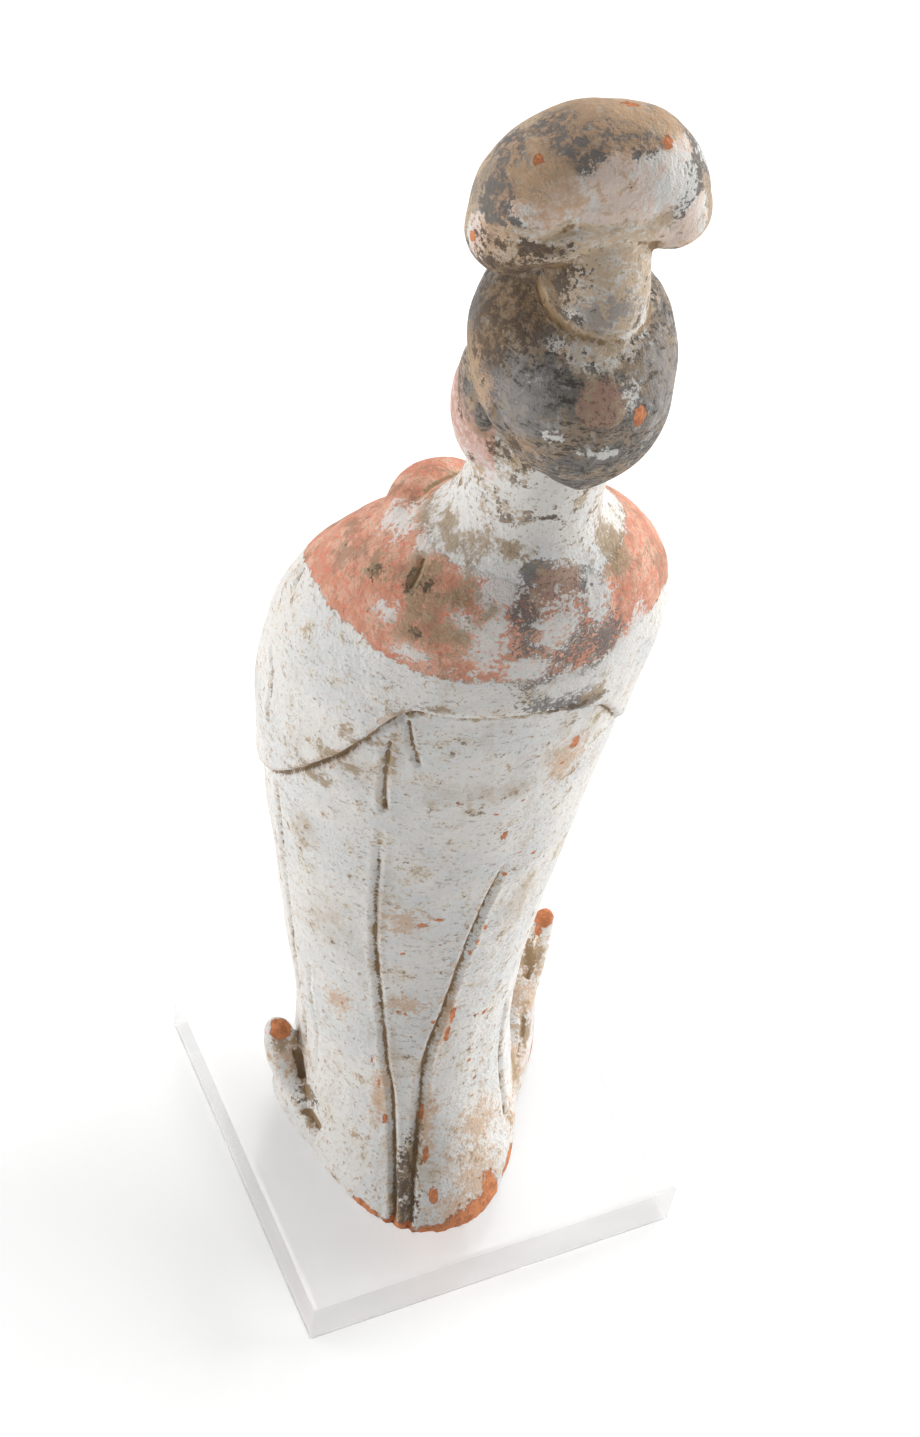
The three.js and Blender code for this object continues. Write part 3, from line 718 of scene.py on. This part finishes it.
def egg_field(points, centre, radii):
    """Rough distance outside an egg, in millimetres."""
    scaled = np.linalg.norm((points - np.asarray(centre)) / np.asarray(radii), axis=1)
    return (scaled - 1) * min(radii)


def hair_field(points):
    """Positive on hair and negative on skin, in millimetres: the distance outside the face and
    neck less the distance outside the hair."""
    x, y, z = points.T
    x_at, half, back, front = (smooth_curve(HAIR[:, 0], HAIR[:, column])(z) for column in (1, 2, 3, 4))
    deep = (back - front) / 2
    scaled = np.hypot((x - x_at) / half, (y - (back + front) / 2) / deep)
    hair = np.maximum((scaled - 1) * np.minimum(half, deep), HAIR[0, 0] - z)
    for lock in LOCKS:
        hair = np.minimum(hair, egg_field(points, *lock))
    face = np.minimum(egg_field(points, *FACE), egg_field(points, *CHIN))
    neck = np.hypot(x, y - section["y"](z)) - NECK_RADIUS
    field = np.where(z > 270, 3, np.clip(np.minimum(face, neck) - hair, -6, 6))
    return np.where(z < 225, -6, field)


def new_mesh(name, points, triangles):
    """Mesh in metres from points in millimetres."""
    mesh = bpy.data.meshes.new(name)
    mesh.from_pydata((np.asarray(points) * MM).tolist(), [], np.asarray(triangles).tolist())
    mesh.update()
    return mesh


def mesh_vectors(mesh, kind, name):
    """Three numbers for each point of a mesh, from this kind of its data."""
    flat = np.empty(len(mesh.vertices) * 3, np.float32)
    getattr(mesh, kind).foreach_get(name, flat)
    return flat.reshape(-1, 3).astype(float)


def mesh_points(mesh):
    """A mesh's points in millimetres."""
    return mesh_vectors(mesh, "vertices", "co") / MM


def mesh_normals(mesh):
    """Outward direction at each point of a mesh."""
    return mesh_vectors(mesh, "vertex_normals", "vector")


def set_points(mesh, points):
    """Moves a mesh's points to these, in millimetres."""
    mesh.vertices.foreach_set("co", (points * MM).astype(np.float32).ravel())
    mesh.update()


def modified(piece):
    """The piece's mesh becomes what its modifiers make of it, and they go."""
    bpy.context.view_layer.update()
    evaluated = piece.evaluated_get(bpy.context.evaluated_depsgraph_get())
    mesh = bpy.data.meshes.new_from_object(evaluated)
    piece.modifiers.clear()
    piece.data = mesh
    return mesh


def hollows(mesh, points, normals, rounds=30):
    """Millimetres that each point lies below its surroundings: each point is halfway to the
    mean of its neighbours again and again, less the first place, along the normal."""
    edges = np.empty(len(mesh.edges) * 2, np.int32)
    mesh.edges.foreach_get("vertices", edges)
    start, end = np.concatenate([edges.reshape(-1, 2), edges.reshape(-1, 2)[:, ::-1]]).T
    count = np.bincount(start, minlength=len(points))[:, None]
    soft = points
    for _ in range(rounds):
        total = np.stack([np.bincount(start, soft[end, axis], len(points)) for axis in range(3)], -1)
        soft = (soft + total / count) / 2
    return ((soft - points) * normals).sum(1)


def stood(points):
    """From the lady's own frame to the stand's."""
    c, s = math.cos(TURN), math.sin(TURN)
    x, y, z = points.T
    return np.stack([x * c - y * s, x * s + y * c, z], -1) + FOOT


def figure_skins():
    """All the lady's closed skins together, as points and triangles."""
    parts = [skirt(), jacket(), *sleeves(), *collar(), *hem_corners(), *shoes(), *head(), *topknot()]
    points, triangles, count = [], [], 0
    for part_points, part_triangles in parts:
        points.append(part_points)
        triangles.append(part_triangles + count)
        count += len(part_points)
    return np.concatenate(points), np.concatenate(triangles)


class Wire:
    """One output socket. Arithmetic on it adds Math nodes to its finish."""

    def __init__(self, finish, socket):
        self.finish = finish
        self.socket = socket

    def math(self, operation, *values):
        return self.finish.node("ShaderNodeMath", {"operation": operation}, dict(enumerate(values)))

    def __add__(self, other):
        return self.math("ADD", self, other)

    def __sub__(self, other):
        return self.math("SUBTRACT", self, other)

    def __rsub__(self, other):
        return self.math("SUBTRACT", other, self)

    def __mul__(self, other):
        return self.math("MULTIPLY", self, other)

    def __pow__(self, other):
        return self.math("POWER", self, other)

    def ramp(self, low, high):
        """0 at low and 1 at high, eased between them and level beyond; low may be the larger."""
        sockets = {"Value": self, "From Min": low, "From Max": high}
        return self.finish.node("ShaderNodeMapRange", {"interpolation_type": "SMOOTHSTEP"}, sockets)


class Finish:
    """A material and the nodes that make it."""

    def __init__(self, name):
        self.material = bpy.data.materials.new(name)
        self.material.use_nodes = True
        self.tree = self.material.node_tree
        self.tree.nodes.clear()
        self.place = self.node("ShaderNodeTexCoord", output="Object")

    def node(self, kind, settings=None, inputs=None, output=0):
        """Adds a node, sets its settings and then its sockets' values or links."""
        made = self.tree.nodes.new(kind)
        for key, value in (settings or {}).items():
            setattr(made, key, value)
        for key, value in (inputs or {}).items():
            if isinstance(value, Wire):
                self.tree.links.new(value.socket, made.inputs[key])
            else:
                made.inputs[key].default_value = value
        return Wire(self, made.outputs[output])

    def noise(self, scale, detail=3.0, roughness=0.5, stretch=None):
        """Noise from 0 to 1, with about this many spots in a metre."""
        where = self.place
        if stretch:
            where = self.node("ShaderNodeMapping", None, {"Vector": where, "Scale": stretch})
        sockets = {"Vector": where, "Scale": scale, "Detail": detail, "Roughness": roughness}
        return self.node("ShaderNodeTexNoise", None, sockets)

    def field(self, name):
        """A value that the mesh holds at each of its points."""
        return self.node("ShaderNodeAttribute", {"attribute_name": name}, output="Fac")

    def blend(self, factor, under, over):
        """One colour over another, by a factor from 0 to 1."""
        return self.node("ShaderNodeMix", {"data_type": "RGBA"}, {0: factor, 6: under, 7: over}, 2)

    def shade(self, inputs, height=None, depth=0.0):
        """Ends the finish in one Principled shader, with a Bump node of this depth in metres."""
        if height:
            bump = {"Height": height, "Distance": depth, "Strength": 1.0}
            inputs = {**inputs, "Normal": self.node("ShaderNodeBump", None, bump, "Normal")}
        shader = self.node("ShaderNodeBsdfPrincipled", None, inputs)
        output = self.tree.nodes.new("ShaderNodeOutputMaterial")
        self.tree.links.new(shader.socket, output.inputs["Surface"])
        return self.material


# Depths of the finest bumps, and how much acrylic bends light.
CLAY_BUMP = 0.9 * MM
ACRYLIC_BUMP = 0.01 * MM
ACRYLIC_BENDING = 1.49

# Colours of wear and dirt, as shares of red, green and blue light.
TONES = {
    "cool": (0.78, 0.78, 0.765),
    "warm": (0.78, 0.69, 0.56),
    "rose": (0.77, 0.68, 0.65),
    "film": (0.50, 0.375, 0.24),
    "fleck": (0.22, 0.19, 0.16),
    "speck": (0.09, 0.06, 0.04),
    "tan": (0.66, 0.42, 0.25),
    "pale_coral": (0.80, 0.47, 0.34),
    "bright_coral": (0.82, 0.19, 0.11),
    "cape_dirt": (0.34, 0.19, 0.12),
    "hair_warm": (0.36, 0.275, 0.195),
    "hair_dark": (0.055, 0.048, 0.043),
    "ash": (0.50, 0.46, 0.41),
    "crest": (0.60, 0.455, 0.32),
    "crest_dark": (0.36, 0.29, 0.22),
    "soot": (0.16, 0.15, 0.145),
    "pink": (0.82, 0.67, 0.58),
    "cream": (0.70, 0.54, 0.38),
    "grey": (0.33, 0.31, 0.30),
    "terracotta": (0.50, 0.30, 0.23),
    "brick": (0.52, 0.18, 0.07),
    "white": (0.84, 0.83, 0.80),
    "ink": (0.10, 0.08, 0.07),
    "lips": (0.52, 0.13, 0.09),
    "blush": (0.72, 0.40, 0.32),
}


def painted_pottery(settings):
    """White slip over orange clay, a coral cape, charcoal hair, and wear and dirt over all."""
    finish = Finish("painted_pottery")
    tone = {name: (*color, 1) for name, color in TONES.items()}
    slip, cape_red, hair_grey, clay, dirt = (
        (*getattr(settings, name + "_color"), 1) for name in ("slip", "cape", "hair", "clay", "dirt")
    )
    # Textures from broad to fine, two that are drawn out level and upright, and mixes of them.
    broad = finish.noise(42, 4, 0.6)
    patchy = finish.noise(150, 6, 0.7)
    crumb = finish.noise(420, 6, 0.72)
    grain = finish.noise(1250, 4, 0.65)
    level = finish.noise(330, 5, 0.7, stretch=(1, 1, 3.2))
    upright = finish.noise(150, 6, 0.7, stretch=(1, 1, 0.3))
    mixed = crumb * 0.62 + grain * 0.38
    islands = patchy * 0.45 + mixed * 0.55
    crumbs = crumb * 0.35 + grain * 0.65
    streaks = level * 0.5 + crumb * 0.5

    def laid(name, gain, soft=0.035, texture=mixed):
        """Where a field with this much say lifts the texture over the middle."""
        return (finish.field(name) * gain + texture).ramp(0.5 - soft, 0.5 + soft)

    def layered(color, *layers):
        """A colour under layers, each a mask, the name of a tone and the tone's share."""
        for mask, name, share in layers:
            color = finish.blend(mask * share, color, tone[name])
        return color

    # White slip, with cool, warm and rosy areas, films of soil, small flecks and rubbed edges.
    low = finish.field("low")
    color = layered(
        slip,
        (broad.ramp(0.44, 0.58), "cool", 1),
        (patchy.ramp(0.52, 0.66), "warm", 0.55),
        ((patchy * 0.5 + crumb * 0.5).ramp(0.46, 0.36), "rose", 0.5),
        (upright.ramp(0.54, 0.7), "film", 0.3),
        ((finish.field("smudge") * 0.5 + patchy * 1.6 - 0.9).ramp(-0.1, 0.6), "film", 0.6),
        ((level * 0.6 + grain * 0.4 + broad * 0.1).ramp(0.6, 0.67), "fleck", 0.6),
        ((crumb + low * 0.035).ramp(0.63, 0.68), "film", 0.7),
        ((level + low * 0.045).ramp(0.68, 0.7), "tan", 0.85),
        ((finish.field("edge") * 0.2 + mixed).ramp(0.58, 0.66), "tan", 0.5),
    )

    # Coral cape, rubbed pale in places and mottled with white down the back.
    mottle = finish.field("mottle")
    coral = layered(
        cape_red,
        (patchy.ramp(0.44, 0.56), "pale_coral", 1),
        (streaks.ramp(0.51, 0.57), "bright_coral", 0.7),
        (upright.ramp(0.5, 0.6), "cape_dirt", 0.65),
        (grain.ramp(0.55, 0.65), "cape_dirt", 0.5),
        ((mixed + mottle * 0.07).ramp(0.59, 0.63), "white", 0.9),
        ((streaks + mottle * 0.06).ramp(0.57, 0.61), "film", 0.8),
    )
    cape = (finish.field("cape") * 0.13 + (mixed - 0.5) * (mottle * 1.4 + 1)).ramp(-0.03, 0.03)
    color = finish.blend(cape, color, coral)

    # Dark hair, rubbed to clay.
    charcoal = layered(
        hair_grey,
        (patchy.ramp(0.45, 0.57), "hair_warm", 1),
        (level.ramp(0.5, 0.59), "hair_dark", 0.85),
        (crumb.ramp(0.53, 0.6), "ash", 0.55),
        (grain.ramp(0.54, 0.61), "hair_dark", 0.75),
    )
    hair = (finish.field("hair") * 0.1 + mixed).ramp(0.47, 0.53)
    color = finish.blend(hair, color, charcoal)

    # Paler roll of the topknot.
    crest = layered(
        tone["crest"],
        (patchy.ramp(0.46, 0.58), "crest_dark", 1),
        ((crumb * 0.6 + level * 0.4).ramp(0.53, 0.6), "grey", 0.7),
        (mixed.ramp(0.45, 0.38), "ash", 0.7),
        (upright.ramp(0.5, 0.6), "crest_dark", 0.6),
        (grain.ramp(0.55, 0.62), "speck", 0.6),
    )
    color = finish.blend(laid("bun", 0.06), color, crest)

    # Soil and specks on the face and neck, and patches of soot.
    skin = 1 - hair
    flecks = finish.field("flecks")
    soot = finish.field("soot") * (0.19 - mottle * 0.13) + islands + (crumbs - islands) * mottle
    color = layered(
        color,
        ((flecks * 0.08 + patchy * 0.6 + grain * 0.4).ramp(0.57, 0.61) * skin, "film", 0.7),
        ((flecks * 0.075 + crumb * 0.6 + patchy * 0.4).ramp(0.59, 0.61) * skin, "speck", 0.75),
        (soot.ramp(0.48, 0.52), "soot", 0.85),
    )

    # Patches of cream crust, pink, tan and grey, and clay-red discs.
    crust = layered(
        tone["cream"],
        (streaks.ramp(0.47, 0.56), "white", 0.8),
        (crumb.ramp(0.53, 0.62), "film", 0.8),
    )
    color = finish.blend(laid("cream", 0.2) * 0.9, color, crust)
    flesh = layered(
        tone["pink"],
        (upright.ramp(0.48, 0.6), "white", 1),
        (crumb.ramp(0.55, 0.62), "tan", 0.7),
    )
    color = finish.blend(laid("pink", 0.2, 0.02, islands) * 0.95, color, flesh)
    color = layered(color, (laid("tan", 0.1, 0.06), "tan", 0.7), (laid("grey", 0.13), "grey", 0.7))
    disc = layered(
        tone["terracotta"],
        (crumb.ramp(0.5, 0.58), "film", 0.8),
        (grain.ramp(0.56, 0.62), "speck", 0.6),
    )
    color = finish.blend(laid("disc", 0.3) * 0.9, color, disc)

    # Flaked spots, and the face's blush, lips and brushed lines.
    color = layered(
        color,
        (laid("flake", 0.12), "white", 0.85),
        (laid("blush", 0.22, 0.12), "blush", 0.75),
        (laid("lips", 0.5), "lips", 0.8),
        (laid("ink", 0.9), "ink", 0.8),
    )

    # Soil, stains, and dirt in and beside the grooves. Beside the stalk, under the bun's left end, the
    # stains are partly painted shade from the bun's overhang.
    earth = layered(dirt, (mixed.ramp(0.44, 0.55), "film", 0.75))
    color = finish.blend(laid("soil", 0.1, 0.045, islands - 0.03) * 0.85, color, earth)
    stain_and_shade = layered(dirt, (crumb.ramp(0.42, 0.55), "speck", 0.95))
    color = finish.blend(laid("grime_and_shade", 0.13) * 0.9, color, stain_and_shade)
    groove = finish.field("crevice")
    color = layered(color, ((groove ** 0.25 * 0.16 + islands).ramp(0.6, 0.68), "film", 0.8))
    crevice = groove * 0.37 + patchy * 0.3 + mixed * 0.7
    color = finish.blend(crevice.ramp(0.66, 0.74) * 0.9, color, dirt)
    color = layered(color, (crevice.ramp(0.84, 0.92), "speck", 0.8))

    # Bare clay where the surface is chipped.
    chip = laid("chip", 0.4, 0.02)
    color = finish.blend(chip, color, layered(clay, (crumb.ramp(0.48, 0.56), "brick", 1)))

    roughness = grain * 0.15 + crumb * 0.15 + 0.66
    height = grain * 0.35 + crumb * 0.9 + patchy * 0.9 + cape * 0.12 + hair * 0.08
    height = height - chip * 0.5 - crevice.ramp(0.6, 0.9) * 0.5
    return finish.shade({"Base Color": color, "Roughness": roughness}, height, CLAY_BUMP)


def clear_acrylic(settings):
    """Polished clear block: see-through by plain values, with faint handling marks."""
    finish = Finish("clear_acrylic")
    smear = finish.noise(60, 4, 0.6).ramp(0.5, 0.75)
    inputs = {
        "Base Color": finish.blend(smear * 0.1, (*settings.tint, 1), (0.97, 0.97, 0.97, 1)),
        "Roughness": smear * 0.05 + settings.polish,
        "Transmission Weight": 1,
        "IOR": ACRYLIC_BENDING,
        "Alpha": settings.body,
    }
    return finish.shade(inputs, finish.noise(500, 2, 0.5, stretch=(1, 0.05, 1)), ACRYLIC_BUMP)


# The white backdrop fades upwards from this strength, to the fill light's at this height of
# a direction one long.
HORIZON_STRENGTH = 0.8
HORIZON_TOP = 0.35

# Half the side of the floor, and how far it is below the block.
FLOOR_HALF = 3000
FLOOR_GAP = 0.3

# The camera, in millimetres and degrees.
CAMERA_SENSOR = 36
CAMERA_LENS = 62.63
CAMERA_AT = (197.95, 314.67, 560.14)
CAMERA_AIM = (1.695, -9.847, 150)
CAMERA_ROLL = 9.8

# Large soft discs, in metres and watts, that all face the middle of the figure.
LIGHT_AIM = (0, 0, 0.15)
LIGHTS = [
    {"name": "Far overhead", "at": (-0.55, -0.5, 1.35), "size": 1.1, "power": 8.6},
    {"name": "Image right", "at": (-1.25, 0.15, 0.55), "size": 0.9, "power": 15},
    {"name": "Image left", "at": (1.05, -0.65, 0.5), "size": 0.9, "power": 10.5},
]


class CourtLadyFigure(bpy.types.PropertyGroup):
    clay_grain: bpy.props.FloatProperty(
        name="Clay grain", description="Side of the cells that the clay is pressed from",
        default=0.65 * MM, min=0.4 * MM, max=3 * MM, precision=5, subtype="DISTANCE", unit="LENGTH")
    groove_depth: bpy.props.FloatProperty(
        name="Groove depth", description="Share of the usual depth of the grooves in the robe",
        default=1, min=0, max=1.5, subtype="FACTOR")
    triangles: bpy.props.IntProperty(
        name="Triangles", description="Most triangles in the finished figure", default=190000, min=20000)
    slip_color: bpy.props.FloatVectorProperty(
        name="Slip", description="White slip of the robe",
        default=(0.85, 0.825, 0.79), size=3, subtype="COLOR")
    cape_color: bpy.props.FloatVectorProperty(
        name="Cape", description="Coral red of the short cape",
        default=(0.70, 0.32, 0.21), size=3, subtype="COLOR")
    hair_color: bpy.props.FloatVectorProperty(
        name="Hair", description="Charcoal of the hair",
        default=(0.21, 0.19, 0.17), size=3, subtype="COLOR")
    clay_color: bpy.props.FloatVectorProperty(
        name="Clay", description="Bare fired clay",
        default=(0.72, 0.27, 0.11), size=3, subtype="COLOR")
    dirt_color: bpy.props.FloatVectorProperty(
        name="Dirt", description="Burial dirt in the hollows",
        default=(0.31, 0.20, 0.105), size=3, subtype="COLOR")


class CourtLadyStand(bpy.types.PropertyGroup):
    tint: bpy.props.FloatVectorProperty(
        name="Tint", description="Colour of the clear block",
        default=(0.945, 0.94, 0.935), size=3, subtype="COLOR")
    polish: bpy.props.FloatProperty(
        name="Polish", description="Roughness of the block's faces",
        default=0.02, min=0, max=1, subtype="FACTOR")
    body: bpy.props.FloatProperty(
        name="Body", description="Share of light that the block bends",
        default=0.5, min=0, max=1, subtype="FACTOR")


class CourtLadyStage(bpy.types.PropertyGroup):
    floor_color: bpy.props.FloatVectorProperty(
        name="Floor", description="Pale paper that the stand is on",
        default=(0.8, 0.8, 0.8), size=3, subtype="COLOR")
    floor_glow: bpy.props.FloatProperty(
        name="Floor glow", description="Light that comes up through the paper", default=0.36, min=0)
    light_share: bpy.props.FloatProperty(
        name="Lights", description="Share of the studio lights' usual power",
        default=1, min=0, subtype="FACTOR")
    sky_strength: bpy.props.FloatProperty(
        name="Fill light", description="Strength of the even light from above", default=0.2, min=0)


class COURTLADY_OT_figure(bpy.types.Operator):
    """Build the pottery lady and paint her"""

    bl_idname = "courtlady.figure"
    bl_label = "Build the lady"

    def execute(self, context):
        settings = context.scene.court_lady_figure
        points, triangles = figure_skins()
        name = "painted_court_lady"
        piece = bpy.data.objects.new(name, new_mesh(name, points, triangles))
        context.scene.collection.objects.link(piece)
        clay = piece.modifiers.new("One clay", "REMESH")
        clay.mode = "VOXEL"
        clay.voxel_size = settings.clay_grain
        clay.use_smooth_shade = True
        soft = piece.modifiers.new("Softened", "SMOOTH")
        soft.factor = 0.5
        soft.iterations = 5
        mesh = modified(piece)
        points = mesh_points(mesh)
        set_points(mesh, carve(points, mesh_normals(mesh), settings.groove_depth))
        count = sum(len(face.vertices) - 2 for face in mesh.polygons)
        thin = piece.modifiers.new("Fewer faces", "DECIMATE")
        thin.ratio = min(1, settings.triangles / count)
        mesh = modified(piece)
        points = mesh_points(mesh)
        hollow = hollows(mesh, points, mesh_normals(mesh))
        for field, values in paint_fields(points, hollow).items():
            layer = mesh.attributes.new(field, "FLOAT", "POINT")
            layer.data.foreach_set("value", values.astype(np.float32))
        points[:, 2] = np.maximum(points[:, 2], 0)
        set_points(mesh, stood(points))
        mesh.polygons.foreach_set("use_smooth", np.ones(len(mesh.polygons), bool))
        mesh.materials.clear()
        mesh.materials.append(painted_pottery(settings))
        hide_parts("court_lady")
        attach(piece, "root")
        print("court lady:", count, "triangles before, now", len(mesh.polygons))
        return {"FINISHED"}


class COURTLADY_OT_stand(bpy.types.Operator):
    """Give the clear block that she stands on its clear acrylic finish"""

    bl_idname = "courtlady.stand"
    bl_label = "Build the stand"

    def execute(self, context):
        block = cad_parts["acrylic_stand"]
        block.data.materials.clear()
        block.data.materials.append(clear_acrylic(context.scene.court_lady_stand))
        return {"FINISHED"}


class COURTLADY_OT_stage(bpy.types.Operator):
    """Set the floor, the lights and the camera"""

    bl_idname = "courtlady.stage"
    bl_label = "Set the stage"

    def execute(self, context):
        settings = context.scene.court_lady_stage
        scene = context.scene
        square = np.array([[-1, -1], [1, -1], [1, 1], [-1, 1]]) * FLOOR_HALF
        corners = np.column_stack([square, np.full(4, -FLOOR_GAP)])
        floor = bpy.data.objects.new("floor", new_mesh("floor", corners, np.array([[0, 1, 2, 3]])))
        scene.collection.objects.link(floor)
        finish = Finish("floor")
        floor.data.materials.append(finish.shade({
            "Base Color": (*settings.floor_color, 1),
            "Roughness": finish.noise(5) * 0.1 + 0.6,
            "Emission Color": (1, 1, 1, 1),
            "Emission Strength": settings.floor_glow,
        }))
        for light in LIGHTS:
            lamp = bpy.data.lights.new(light["name"], "AREA")
            lamp.shape = "DISK"
            lamp.size = light["size"]
            lamp.energy = light["power"] * settings.light_share
            holder = bpy.data.objects.new(light["name"], lamp)
            holder.location = light["at"]
            aim = Vector(LIGHT_AIM) - Vector(light["at"])
            holder.rotation_euler = aim.to_track_quat("-Z", "Y").to_euler()
            scene.collection.objects.link(holder)
        world = bpy.data.worlds.new("Studio")
        world.use_nodes = True
        nodes, links = world.node_tree.nodes, world.node_tree.links
        height = nodes.new("ShaderNodeSeparateXYZ")
        fade = nodes.new("ShaderNodeMapRange")
        fade.inputs["From Max"].default_value = HORIZON_TOP
        fade.inputs["To Min"].default_value = HORIZON_STRENGTH
        fade.inputs["To Max"].default_value = settings.sky_strength
        links.new(nodes.new("ShaderNodeTexCoord").outputs["Generated"], height.inputs[0])
        links.new(height.outputs["Z"], fade.inputs["Value"])
        links.new(fade.outputs[0], nodes["Background"].inputs["Color"])
        scene.world = world
        camera = bpy.data.cameras.new("Camera")
        camera.sensor_fit = "VERTICAL"
        camera.sensor_height = camera.sensor_width = CAMERA_SENSOR
        camera.lens = CAMERA_LENS
        holder = bpy.data.objects.new("Camera", camera)
        at = Vector(CAMERA_AT) * MM
        aim = Vector(CAMERA_AIM) * MM
        level = (aim - at).to_track_quat("-Z", "Y").to_matrix()
        roll = Matrix.Rotation(math.radians(CAMERA_ROLL), 3, "Z")
        holder.matrix_world = Matrix.Translation(at) @ (level @ roll).to_4x4()
        scene.collection.objects.link(holder)
        scene.camera = holder
        scene.view_settings.view_transform = "Standard"
        return {"FINISHED"}


class COURTLADY_PT_panel(bpy.types.Panel):
    """Lists the pieces and the sizes that can be changed"""

    bl_idname = "COURTLADY_PT_panel"
    bl_label = "Court lady"
    bl_space_type = "VIEW_3D"
    bl_region_type = "UI"
    bl_category = "Court lady"

    def draw(self, context):
        for group in GROUPS:
            owner = getattr(context.scene, group)
            for name in owner.__annotations__:
                self.layout.prop(owner, name)
        for operator in OPERATORS:
            self.layout.operator(operator.bl_idname)


GROUPS = {
    "court_lady_figure": CourtLadyFigure,
    "court_lady_stand": CourtLadyStand,
    "court_lady_stage": CourtLadyStage,
}
OPERATORS = [COURTLADY_OT_stage, COURTLADY_OT_stand, COURTLADY_OT_figure]


def register():
    for name, group in GROUPS.items():
        bpy.utils.register_class(group)
        setattr(bpy.types.Scene, name, bpy.props.PointerProperty(type=group))
    for shown in [*OPERATORS, COURTLADY_PT_panel]:
        bpy.utils.register_class(shown)


def unregister():
    for shown in [COURTLADY_PT_panel, *OPERATORS]:
        bpy.utils.unregister_class(shown)
    for name, group in GROUPS.items():
        delattr(bpy.types.Scene, name)
        bpy.utils.unregister_class(group)


def main():
    register()
    bpy.ops.courtlady.stage()
    bpy.ops.courtlady.stand()
    bpy.ops.courtlady.figure()


if __name__ == "__main__":
    main()
